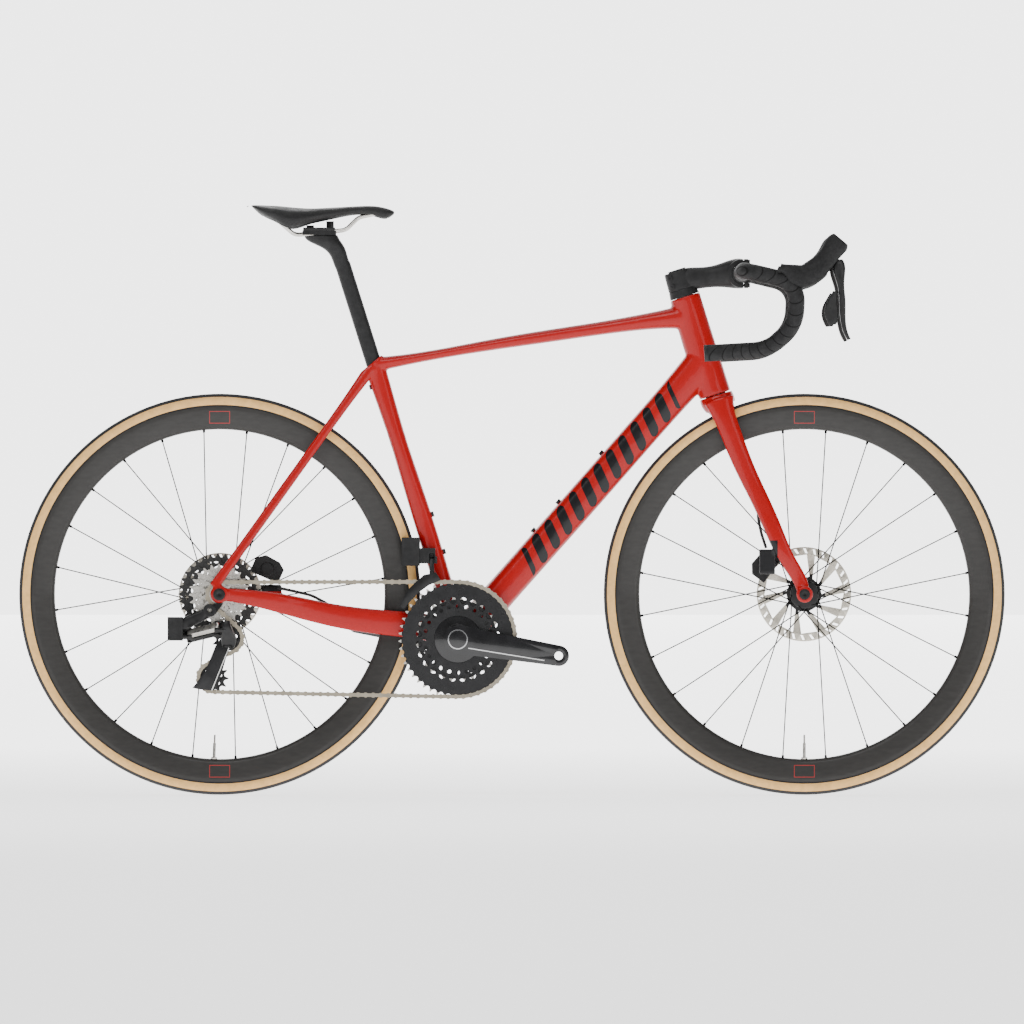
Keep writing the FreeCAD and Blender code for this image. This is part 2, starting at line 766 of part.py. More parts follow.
def build_cassette():
    """The freehub body and its stack of sprockets, smallest outermost."""
    bore = "axle_radius + axle_clearance"
    inner_end = "-(drive_flange + flange_width + 0.6)"
    turned("freehub_body", [[
        (bore, "-(rear_hub_width / 2 - hub_gap)"),
        ("hub_shell_radius - 2", "-(rear_hub_width / 2 - hub_gap)"),
        ("hub_shell_radius - 2", "-(rear_hub_width / 2 - first_cog_inset + 2)"),
        ("freehub_radius - 2", "-(rear_hub_width / 2 - first_cog_inset + 2)"),
        ("freehub_radius - 2", "-(rear_hub_width / 2 - first_cog_inset - 2.75)"),
        ("freehub_radius", "-(rear_hub_width / 2 - first_cog_inset - 2.75)"),
        ("freehub_radius", inner_end),
        (bore, inner_end),
    ]], Placement(REAR_AXLE, Rotation()))
    stack = []
    phase = gap_angle(REAR_AXLE + LEFT * COG_LINE, pitch_radius(COGS[0]))
    for number, teeth in enumerate(COGS):
        line = COG_LINE + number * size("cog_spacing")
        bore_radius = size("freehub_radius") + 0.05 - (2 if number == 0 else 0)
        cog = sprocket(teeth, size("cog_thickness"), line, bore_radius, phase + number * 0.4)
        radius = pitch_radius(teeth)
        if teeth > 17:
            cog = windows(cog, (radius + size("freehub_radius")) / 2 - 1, (radius - 24) / 2.6, 9, number * 13)
        stack.append(cog)
        if number:
            inner = bore_radius - (2 if number == 1 else 0)
            wall = 1.1 if number == 1 else 1.6
            spacer_foot = LEFT * (line - size("cog_spacing") + size("cog_thickness") / 2)
            spacer = cylinder(inner + wall, size("cog_spacing - cog_thickness"), spacer_foot, LEFT)
            stack.append(spacer.cut(cylinder(inner, 9, spacer_foot - LEFT * 4, LEFT)))
    solid("cassette_sprockets", Part.makeCompound(stack), Placement(REAR_AXLE, Rotation()))


def build_crank():
    """The drive arm with its spindle and spider, the far arm, and the two chainrings."""
    turn = Rotation(LEFT, size("crank_slope"))
    place = Placement(CRANK_CENTRE, turn)
    arm_top = "-(pedal_stance / 2 - arm_thickness)"
    spider_top = "-(shell_width / 2 + cup_flange + 0.5)"
    ring_face = "ring_line - ring_thickness / 2"
    small_face = "ring_line - ring_gap + ring_thickness / 2"
    arm = [
        ("-20", "16"),
        ("0", "25"),
        ("crank_length * 0.35", "21.5"),
        ("crank_length", "17.5", "-17.5"),
        ("crank_length + 17.5", "0", "-17.5"),
        ("crank_length", "-17.5"),
        ("crank_length * 0.35", "-21.5"),
        ("0", "-25"),
        ("-20", "-16"),
        ("-25", "0"),
    ]
    pedal = ("crank_length", "0", "pedal_thread_radius")
    plate("right_crank_arm", [
        ([arm, pedal], arm_top, "arm_thickness"),
        ([("0", "0", "26")], spider_top, f"pedal_stance / 2 - arm_thickness + {spider_top}"),
        ([("0", "0", "52")], spider_top, f"{ring_face} + {spider_top}"),
        ([("0", "0", "52"), ("0", "0", "44")], f"-({small_face})", f"{ring_face} - ({small_face})"),
        ([("0", "0", "spindle_radius")], "pedal_stance / 2 - arm_thickness", "pedal_stance - 2 * arm_thickness"),
    ], place)
    plate("left_crank_arm", [
        ([arm, pedal], "pedal_stance / 2", "arm_thickness"),
    ], Placement(CRANK_CENTRE, Rotation(LEFT, size("crank_slope") + 180)))
    phase = gap_angle(CRANK_CENTRE + LEFT * RING_LINE, pitch_radius(size("big_teeth")))
    big = sprocket(int(size("big_teeth")), size("ring_thickness"), RING_LINE, 40, phase)
    big = windows(big, 66, 5.5, 24, 7)
    big = windows(big, 56, 3.4, 24)
    small = sprocket(int(size("small_teeth")), size("ring_thickness"), RING_LINE + size("ring_gap"), 40, phase)
    small = windows(small, 57, 4.0, 20, 4)
    solid("chainrings", Part.makeCompound([big, small]), Placement(CRANK_CENTRE, Rotation()))


# ---------------------------------------------------------------- frame

REAR_TIP = "rear_hub_width / 2"
SEAT_TOP = size("seat_tube_top")
POST_FOOT = size("post_foot_rise")
SEAT_TOP_SLOPE = 40.0


def post_ring(rise, gap=0.0):
    """The seatpost's oval section at a height along the seat line, grown all round by gap."""
    return ring(at_seat(rise), SEAT_BACK, LEFT, size("post_depth") + 2 * gap, size("post_width") + 2 * gap, 2.4)


def main_tubes():
    """The head tube, top tube, down tube and seat tube as overlapping solids."""
    base = size("crown_rise")
    top = base + size("head_length")
    head = Part.makeLoft([
        ring(at_head(base, -0.5), AHEAD, LEFT, 55, 54, 2.1),
        ring(at_head(base + 40, -1), AHEAD, LEFT, 55, 52, 2.1),
        ring(at_head(top - 50, -1), AHEAD, LEFT, 54, 49, 2.1),
        ring(at_head(top, 0), AHEAD, LEFT, 52, 50, 2.1),
    ], True, False)
    seat_joint = at_seat(SEAT_TOP - 5)
    head_joint = at_head(top - 31)
    span = head_joint - seat_joint

    def along_top(share, drop):
        return tuple(seat_joint + span * share - Vector(0, 0, drop))

    top_tube = tube([
        (*along_top(0.0, 0.5), 24, 30),
        (*along_top(0.07, 0.7), 20.5, 33),
        (*along_top(0.4, -1.6), 20, 36),
        (*along_top(0.556, -1.1), 22, 37),
        (*along_top(0.713, -0.2), 23, 38),
        (*along_top(0.84, 0.6), 27, 40),
        (*along_top(0.905, 1.4), 31.5, 42),
        (*along_top(1.0, 4), 46, 44),
    ], 2.5)
    foot = CRANK_CENTRE + Vector(4, 0, 0)
    end = at_head(base + 58, -4)
    span_down = end - foot

    def along_down(share):
        return tuple(foot + span_down * share)

    down_tube = tube([
        (*along_down(0.0), 56, 70),
        (*along_down(0.12), 54, 66),
        (*along_down(0.4), 54, 54),
        (*along_down(0.75), 54, 50),
        (*along_down(0.9), 56, 50),
        (*along_down(1.0), 62, 50),
    ], 2.6)
    seat_tube = tube([
        (*at_seat(-4), 46, 70),
        (*at_seat(45), 33, 58),
        (*at_seat(110), 31.5, 40),
        (*at_seat(260), 31.5, 34),
        (*at_seat(SEAT_TOP - 65), 32, 33),
        (*at_seat(SEAT_TOP + 8), 35, 34),
    ], 2.4)
    return [head, top_tube, down_tube, seat_tube]


def rear_stays():
    """The left chain stay, seat stay and dropout as overlapping solids."""
    tip = size(REAR_TIP) + size("rear_dropout_depth") / 2
    axle = REAR_AXLE
    shell = CRANK_CENTRE
    chain_stay = tube([
        (axle.x + 2, tip, axle.z, 22, 7.5),
        (axle.x + 35, tip - 5, axle.z - 3, 25, 10),
        (axle.x + 75, tip - 9.5, axle.z - 9.5, 30, 11),
        (axle.x + 136, tip - 25, axle.z - 23, 36, 14),
        (shell.x - 165, 35, shell.z + 33, 41, 15),
        (shell.x - 98, 27.5, shell.z + 26, 44, 16),
        (shell.x - 10, 25, shell.z + 8, 44, 24),
    ], 2.5)
    foot = axle + Vector(-9, tip, 13)
    head = at_seat(SEAT_TOP - 9, 7, 9)
    span = head - foot
    middle = foot + span * 0.5
    seat_stay = tube([
        (*foot, 18, 7.5),
        (*(foot + span * 0.12 + LEFT * 0.5), 16, 8.5),
        (middle.x, 42, middle.z, 15.5, 10),
        (*(foot + span * 0.82 + LEFT * 2.5), 16, 12),
        (*head, 22, 16),
    ], 2.5)
    boss = cylinder(size("dropout_radius + 1"), size("rear_dropout_depth"), axle + LEFT * size(REAR_TIP), LEFT)
    return [chain_stay, seat_stay, boss]


def build_frame():
    """The monocoque: every tube joined, then bored for the post, steerer, cranks and axle."""
    stays = rear_stays()
    shell_half = size("shell_width / 2")
    shell = cylinder(size("shell_radius"), 2 * shell_half, CRANK_CENTRE - LEFT * shell_half, LEFT)
    rear_disc_mount = caliper_foot()
    tubes = main_tubes() + stays + [mirrored(stay) for stay in stays] + [shell, rear_disc_mount]
    body = tubes[0].multiFuse(tubes[1:])
    post_bore = Part.Face(post_ring(POST_FOOT - 60, size("post_clearance")))
    lid = Part.makeBox(60, 60, 40, Vector(-30, -30, 0))
    lid.Placement = Placement(at_seat(SEAT_TOP), Rotation(LEFT, -SEAT_TOP_SLOPE))
    base = size("crown_rise")
    top = base + size("head_length")
    seat_height = size("bearing_height")
    cuts = [
        lid,
        post_bore.extrude(UP_SEAT * (SEAT_TOP - POST_FOOT + 90)),
        cylinder(17.5, size("head_length") + 40, at_head(base - 20), UP_HEAD),
        cylinder(size("upper_bearing_radius"), 30, at_head(top - seat_height), UP_HEAD),
        cylinder(size("lower_bearing_radius"), 30, at_head(base + seat_height), UP_HEAD * -1),
        cylinder(size("cup_radius"), 200, CRANK_CENTRE - LEFT * 100, LEFT),
        cylinder(size("axle_radius + axle_clearance"), 300, REAR_AXLE - LEFT * 150, LEFT),
        cylinder(size("dropout_radius") + 13, size("rear_hub_width"), REAR_AXLE - LEFT * size(REAR_TIP), LEFT),
        cylinder(REAR_ROTOR_ROOM, 7, REAR_AXLE + LEFT * (size("rear_rotor_line") - 3.5), LEFT),
        cylinder(WHEEL_RADIUS + size("wheel_clearance"), 34, REAR_AXLE - LEFT * 17, LEFT),
    ]
    for cut in cuts:
        body = body.cut(cut)
    solid("frame", max(body.Solids, key=lambda piece: piece.Volume))


REAR_ROTOR_ROOM = size("rear_rotor_radius") + 3


def caliper_foot():
    """The flat pad on the left chain stay that the rear caliper stands on."""
    return Part.makeBox(50, 11, 24, REAR_AXLE + Vector(54, size("rear_rotor_line") + 3, -8))


def frame_hardware():
    """Bearings, cups, bolts, wedge, hanger and the rear axle."""
    clearance = size("bearing_clearance")
    height = size("bearing_height")
    base = size("crown_rise")
    top = base + size("head_length")
    upper = cylinder(size("upper_bearing_radius"), height, at_head(top - height), UP_HEAD)
    upper = upper.cut(cylinder(size("steerer_radius") + clearance, 60, at_head(top - 40), UP_HEAD))
    lower = cylinder(size("lower_bearing_radius"), height, at_head(base), UP_HEAD)
    lower = lower.cut(cylinder(size("steerer_base_radius") + clearance, 60, at_head(base - 20), UP_HEAD))
    cup_length = 14
    face = size("shell_width / 2")
    cup = cylinder(size("cup_radius"), cup_length, CRANK_CENTRE + LEFT * (face - cup_length), LEFT)
    lip = cylinder(size("shell_radius - 1"), size("cup_flange"), CRANK_CENTRE + LEFT * face, LEFT)
    bore = cylinder(size("spindle_radius + spindle_clearance"), 200, CRANK_CENTRE - LEFT * 100, LEFT)
    cup = cup.fuse(lip).cut(bore)
    solid("frame_bearings", Part.makeCompound([upper, lower, cup, mirrored(cup)]))

    tip = size(REAR_TIP) + size("rear_dropout_depth")
    shaft = cylinder(size("axle_radius"), 2 * tip, REAR_AXLE - LEFT * tip, LEFT)
    head = cylinder(10, 3, REAR_AXLE - LEFT * (tip + 3), LEFT)
    socket = cylinder(3, 6, REAR_AXLE - LEFT * (tip + 4), LEFT)
    solid("rear_thru_axle", shaft.fuse(head).cut(socket))

    bolts = []
    down_start = CRANK_CENTRE + Vector(4, 0, 0)
    down_end = at_head(base + 58, -4)
    along = (down_end - down_start).normalize()
    outward = Vector(-along.z, 0, along.x)
    for reach in (220, 284, 394):
        bolts.append(bolt(down_start + along * reach + outward * 27.2, outward, 2.5, 9, 4.6, 4.5))
    for rise in (150, 216):
        bolts.append(bolt(at_seat(rise, -15.9), SEAT_BACK * -1, 2.5, 2.2, 4.6, 4.5))
    wedge_rise = SEAT_TOP - 40
    bolts.append(bolt(at_seat(wedge_rise, 16), SEAT_BACK, 2.5, 2.4, 4.2, 3.5))
    solid("frame_bolts", Part.makeCompound(bolts))


# ---------------------------------------------------------------- fork and cockpit


def fork_blade():
    """The left blade from inside the crown down to its dropout."""
    tip = size("front_hub_width + front_dropout_depth") / 2
    axle = FRONT_AXLE
    return tube([
        (*at_head(342, 3, 20), 52, 30),
        (*at_head(322, 3, 26), 41, 23),
        (axle.x - 120, 31, axle.z + 261, 35, 19),
        (axle.x - 99, 34, axle.z + 210, 32, 17),
        (axle.x - 75, 40, axle.z + 160, 30, 15.5),
        (axle.x - 52, 49.5, axle.z + 109, 29, 12.5),
        (axle.x - 28, 52.5, axle.z + 58, 26, 11),
        (axle.x - 2, tip, axle.z + 2, 22, 9.5),
    ], 2.2)


def build_fork():
    """Crown, blades, dropouts and steerer in one carbon piece."""
    base = size("crown_rise")
    crown = Part.makeLoft([
        ring(at_head(base - 1, 0), AHEAD, LEFT, 56, 56, 2.1),
        ring(at_head(base - 16, 1), AHEAD, LEFT, 57, 66, 2.3),
        ring(at_head(base - 32, 3), AHEAD, LEFT, 44, 72, 2.5),
    ], True, False)
    blade = fork_blade()
    half_hub = size("front_hub_width / 2")
    depth = size("front_dropout_depth")
    boss = cylinder(size("dropout_radius"), depth, FRONT_AXLE + LEFT * half_hub, LEFT)
    boss = boss.fuse(Part.makeBox(26, 7, 42, FRONT_AXLE + Vector(-76, 45, 34)))
    bottom = at_head(base - 20)
    race = cylinder(size("steerer_base_radius"), 20 + size("bearing_height") + 2, bottom, UP_HEAD)
    steerer_top = base + size("head_length + spacer_height + stem_height") - 11
    steerer = cylinder(size("steerer_radius"), steerer_top - base + 20, bottom, UP_HEAD)
    fork = crown.multiFuse([blade, mirrored(blade), boss, mirrored(boss), race, steerer])
    arch = WHEEL_RADIUS + size("wheel_clearance")
    cuts = [
        cylinder(arch, 36, FRONT_AXLE - LEFT * 18, LEFT),
        cylinder(size("axle_radius + axle_clearance"), 200, FRONT_AXLE - LEFT * 100, LEFT),
        cylinder(size("dropout_radius") + 2, 2 * half_hub, FRONT_AXLE - LEFT * half_hub, LEFT),
        cylinder(size("steerer_radius") - 3, 400, at_head(base + 10), UP_HEAD),
        cylinder(size("front_rotor_radius") + 3, 6, FRONT_AXLE + LEFT * (size("front_rotor_line") - 3), LEFT),
    ]
    for cut in cuts:
        fork = fork.cut(cut)
    solid("fork", max(fork.Solids, key=lambda piece: piece.Volume))
    tip = half_hub + depth
    shaft = cylinder(size("axle_radius"), 2 * tip, FRONT_AXLE - LEFT * tip, LEFT)
    cap = cylinder(9, 2.5, FRONT_AXLE - LEFT * (tip + 2.5), LEFT)
    socket = cylinder(3, 6, FRONT_AXLE - LEFT * (tip + 4), LEFT)
    solid("front_thru_axle", shaft.fuse(cap).cut(socket))


def cockpit_places():
    """The foot of the spacer, the foot of the stem and the centre of the bar clamp."""
    spacer_foot = size("crown_rise + head_length")
    stem_foot = spacer_foot + size("spacer_height")
    centre = at_head(stem_foot + 14) + Vector(size("stem_reach"), 0, size("bar_rise"))
    return spacer_foot, stem_foot, centre


def build_stem():
    """Spacer, stem, faceplate and their bolts."""
    spacer_foot, stem_foot, centre = cockpit_places()
    gap = size("bearing_clearance")
    height = size("spacer_height")
    lift = size("crown_gap") / 2
    spacer = Part.makeLoft([
        ring(at_head(spacer_foot + lift, 0), AHEAD, LEFT, 51, 47, 2.1),
        ring(at_head(spacer_foot + height, -1), AHEAD, LEFT, 46, 42, 2.1),
    ], True, True)
    spacer = spacer.cut(cylinder(size("steerer_radius") + gap, 60, at_head(spacer_foot - 20), UP_HEAD))
    solid("headset_spacer", spacer)

    top = stem_foot + size("stem_height") - 8
    clamp = Part.makeLoft([
        ring(at_head(stem_foot, -1), AHEAD, LEFT, 46, 41, 2.6),
        ring(at_head(stem_foot + 16, -1), AHEAD, LEFT, 45, 40, 2.6),
        ring(at_head(top, -1), AHEAD, LEFT, 43, 38, 2.6),
    ], True, False)
    neck = tube([
        (*(at_head(stem_foot + 15) + Vector(2, 0, 2)), 34, 34),
        (*(at_head(stem_foot + 15) + Vector(36, 0, 5)), 36, 32),
        (centre.x - 42, 0, centre.z - 4, 38, 32),
        (centre.x - 20, 0, centre.z - 1, 47, 44),
        (centre.x + 4, 0, centre.z, 49, 48),
    ], 2.6)
    barrel = cylinder(24, 44, centre - LEFT * 22, LEFT)
    stem = clamp.multiFuse([neck, barrel])
    stem = stem.cut(cylinder(size("steerer_radius") + gap, 90, at_head(stem_foot - 20), UP_HEAD))
    stem = stem.cut(cylinder(size("bar_clamp_radius") + gap, 120, centre - LEFT * 60, LEFT))
    stem = stem.cut(Part.makeBox(60, 120, 120, centre + Vector(3, -60, -60))).cut(spacer)
    solid("stem", max(stem.Solids, key=lambda piece: piece.Volume))

    shell = cylinder(20.5, 40, centre - LEFT * 20, LEFT)
    ears = Part.makeBox(7, 40, 49, centre + Vector(4, -20, -24.5))
    cap = shell.fuse(ears).cut(cylinder(size("bar_clamp_radius") + gap, 120, centre - LEFT * 60, LEFT))
    cap = cap.cut(Part.makeBox(60, 120, 120, centre + Vector(-56, -60, -60)))
    solid("stem_faceplate", max(cap.Solids, key=lambda piece: piece.Volume))
    bolts = []
    for rise in (-20, 20):
        for side in (-14, 14):
            bolts.append(bolt(centre + Vector(11, side, rise), (1, 0, 0), 2, 14, 3.4, 3))
    for rise in (9, 24):
        bolts.append(bolt(at_head(stem_foot + rise, -15, -19), (0, -1, 0), 2.2, 30, 3.6, 2.4))
    bolts.append(bolt(at_head(top, 0), UP_HEAD, 3, 12, 15, 2.5))
    solid("stem_bolts", Part.makeCompound(bolts))
    return centre


def bar_route(centre):
    """The left half of the drop bar's centre line, from the clamp to its end."""
    half = size("bar_half_width")
    corners = [(0, 0, 0), (2, half - 4, 4), (92, half + 1, -18), (88, half + 1, -90),
               (42, half + 1, -130), (-60, half + 1, -136)]
    return [centre + Vector(*corner) for corner in corners]


BAR_BENDS = 70


def build_bar(centre):
    """The drop bar with its end plugs, and the two runs of tape."""
    route = bar_route(centre)
    bar_radius = size("bar_radius")
    half = rod(route, bar_radius, BAR_BENDS)
    sleeve_length = 38
    sleeve = cylinder(size("bar_clamp_radius"), 2 * sleeve_length, centre - LEFT * sleeve_length, LEFT)
    end = route[-1]
    heading = (end - route[-2]).normalize()
    plug = cylinder(size("bar_radius + tape_thickness"), 5, end, heading)
    bar = half.multiFuse([mirrored(half), sleeve])
    solid("handlebar", Part.makeCompound([max(bar.Solids, key=lambda piece: piece.Volume), plug, mirrored(plug)]))
    wrapped = [route[0] + LEFT * 46] + route[1:]
    tape = rod(wrapped, bar_radius + size("tape_thickness"), BAR_BENDS)
    tape = tape.cut(half)
    solid("bar_tape", Part.makeCompound([tape, mirrored(tape)]))


def hood_centre(centre, side):
    """A point on the left control's own centre line."""
    return centre + Vector(0, size("bar_half_width") + 1, 0) + Vector(*side)


def build_controls(centre):
    """Rubber hoods on the bar, with the brake lever and shift paddle of each side."""
    def spot(along, up, depth, width):
        place = hood_centre(centre, (along, 0, up))
        return (place.x, place.y, place.z, depth, width)

    hood = tube([
        spot(61, 6, 22, 31),
        spot(80, -2, 32, 34),
        spot(99, -7, 39, 36),
        spot(115, -1, 40, 36),
        spot(134, 15, 37, 35),
        spot(149, 34, 37, 34),
        spot(160, 50, 38, 34),
        spot(165, 56, 30, 30),
    ], 2.5)
    bar = rod(bar_route(centre), size("bar_radius + tape_thickness + 0.1"), BAR_BENDS)
    hood = hood.cut(bar)
    pocket = tube([
        spot(140, 4, 30, 16),
        spot(163, 10, 38, 16),
        spot(186, 16, 46, 16),
    ], 4)
    hood = hood.cut(pocket)
    hood = max(hood.Solids, key=lambda piece: piece.Volume)
    solid("brake_hoods", Part.makeCompound([hood, mirrored(hood)]))

    blade = tube([
        spot(162, 22, 11, 13),
        spot(162, 5, 21, 13),
        spot(164, -15, 14, 14),
        spot(167, -42, 11, 15),
        spot(168, -72, 10, 14),
        spot(171, -95, 8, 13),
        spot(179, -113, 6, 10),
    ], 2.4)
    paddle = tube([
        spot(155.5, -32, 8, 8),
        spot(152, -44, 14, 8),
        spot(149, -60, 22, 7),
        spot(150, -78, 20, 7),
        spot(151, -88, 12, 6),
    ], 2.8)
    pivot = hood_centre(centre, (163, 0, 18))
    blade = blade.fuse(cylinder(3.5, 15, pivot - LEFT * 7.5, LEFT))
    for name, turn in (("left", 0), ("right", 1)):
        for piece_name, piece in (("brake_lever", blade), ("shift_paddle", paddle)):
            shape = mirrored(piece) if turn else piece
            solid(f"{name}_{piece_name}", shape)


# ---------------------------------------------------------------- saddle and post

def build_seat():
    """Seatpost, clamp, rails, shell and padded cover."""
    head = build_post()
    clamp_at = head + Vector(-42, 0, 57.5)
    spread = size("rail_spread / 2")
    rail = rod([
        clamp_at + Vector(-68, spread + 12, 20),
        clamp_at + Vector(-40, spread, -4),
        clamp_at + Vector(46, spread - 2, 4.5),
        clamp_at + Vector(68, spread - 13, 26),
        clamp_at + Vector(102, 9, 33),
    ], size("rail_radius"), 20)
    rails = Part.makeCompound([rail, mirrored(rail)])
    solid("saddle_rails", rails)
    half = spread + 5.5
    cradle = Part.makeBox(57, 2 * half, 7.4, clamp_at + Vector(-27, -half, -3.9))
    cheek = Part.makeBox(54, 11, 5, clamp_at + Vector(-26, half - 11, 3.6))
    clamp = [cradle.cut(rails), cheek.cut(rails), mirrored(cheek).cut(rails)]
    for ahead, height in ((-14, 9), (19.5, 16)):
        clamp.append(bolt(clamp_at + Vector(ahead, 0, 3.5), (0, 0, 1), 2.5, 7, 6.5, height))
    solid("saddle_clamp", Part.makeCompound(clamp))
    build_saddle(clamp_at, rails)


def build_post():
    """The oval seatpost, whose neck sweeps back into a flat head; gives the foot of the neck."""
    straight = Part.Face(post_ring(POST_FOOT)).extrude(UP_SEAT * size("post_length"))
    neck_foot = size("post_foot_rise + post_length") - 5
    head = at_seat(neck_foot)
    sections = [(-5, 11.6, 28, 24), (-13.5, 28.6, 35, 27), (-34, 45.6, 56, 31), (-38, 53.6, 56, 32)]
    rings = [post_ring(neck_foot)]
    for ahead, up, depth, width in sections:
        rings.append(ring(head + Vector(ahead, 0, up), Vector(-1, 0, 0), LEFT, depth, width, 2.5))
    post = straight.fuse(Part.makeLoft(rings, True, False))
    solid("seatpost", max(post.Solids, key=lambda piece: piece.Volume))
    return head


# back from the nose, top, depth and share of the full width of each section of the saddle
SADDLE = [
    (0, 36, 4, 0.10),
    (5, 38.5, 10.5, 0.18),
    (12, 41, 17, 0.23),
    (32, 45, 18.5, 0.27),
    (50, 45.5, 15.5, 0.30),
    (86, 43.7, 17, 0.38),
    (112, 42.3, 22, 0.48),
    (138, 41, 27.5, 0.65),
    (155, 41.5, 35, 0.79),
    (178, 43.3, 42, 0.94),
    (190, 44.5, 38, 0.98),
    (205, 45.5, 28.5, 1.0),
    (222, 46.2, 19, 0.97),
    (236, 46.7, 8, 0.86),
    (251, 43.5, 2.5, 0.42),
]
PADDING = 12.0
SHELL_WALL = 3.0
SKIRT_WALL = 7.0


def build_saddle(clamp_at, rails):
    """The padded cover, hollow underneath, and the thin shell that lines it and holds the rails."""
    nose = clamp_at + Vector(128.5, 0, 0)

    def slice_of(back, top, depth, width):
        centre = Vector(nose.x - back, 0, nose.z + top - depth / 2)
        return ring(centre, Vector(0, 0, 1), LEFT, depth, width, 2.4)

    wide = size("saddle_width")
    outside = Part.makeLoft([slice_of(back, top, depth, wide * share) for back, top, depth, share in SADDLE],
                            True, False)
    room = []
    for wall, drop in ((SKIRT_WALL, PADDING), (SKIRT_WALL + SHELL_WALL, PADDING + SHELL_WALL)):
        room.append(Part.makeLoft([
            slice_of(back, top - drop, 2 * depth, wide * share - 2 * wall)
            for back, top, depth, share in SADDLE[2:13]
        ], True, False))
    solid("saddle_cover", outside.cut(room[0]).cut(rails))
    shell = room[0].common(outside).cut(room[1]).cut(rails)
    solid("saddle_shell", max(shell.Solids, key=lambda piece: piece.Volume))


# ---------------------------------------------------------------- derailleurs

LINK_TILT = math.radians(39.6)
LINK_LENGTH = 50.0
LINK_REST = math.radians(21)
LINK_AXIS = Vector(0, math.sin(LINK_TILT), math.cos(LINK_TILT))
LINK_INWARD = Vector(0, math.cos(LINK_TILT), -math.sin(LINK_TILT))
LINK_SPAN = Vector(1, 0, 0) * (LINK_LENGTH * math.cos(LINK_REST)) - LINK_INWARD * (LINK_LENGTH * math.sin(LINK_REST))
LINK_ACROSS = LINK_AXIS.cross(Vector(1, 0, 0))
HANGER_BOLT = REAR_AXLE + Vector(-16, 0, -27)
UPPER_PIVOT = REAR_AXLE + Vector(-50, -84, -66)
PIN_RADIUS = 2.5


def pivot_lug(spot, radius, height, bore):
    """A round lug about a link pivot, bored for its pin."""
    foot = spot - LINK_AXIS * (height / 2)
    lug = cylinder(radius, height, foot, LINK_AXIS)
    if bore:
        lug = lug.cut(cylinder(bore, height * 2, spot - LINK_AXIS * height, LINK_AXIS))
    return lug


def link_between(first, second, radius, height):
    """A flat link bored at both of its pivots."""
    along = (second - first).normalize()
    across = LINK_AXIS.cross(along)
    corner = first - LINK_AXIS * (height / 2) - across * radius
    edges = [corner, corner + (second - first), corner + (second - first) + across * 2 * radius,
             corner + across * 2 * radius, corner]
    bar = Part.Face(Part.makePolygon(edges)).extrude(LINK_AXIS * height)
    link = bar.multiFuse([pivot_lug(first, radius, height, 0), pivot_lug(second, radius, height, 0)])
    for spot in (first, second):
        link = link.cut(cylinder(PIN_RADIUS + 0.05, height * 2, spot - LINK_AXIS * height, LINK_AXIS))
    return link


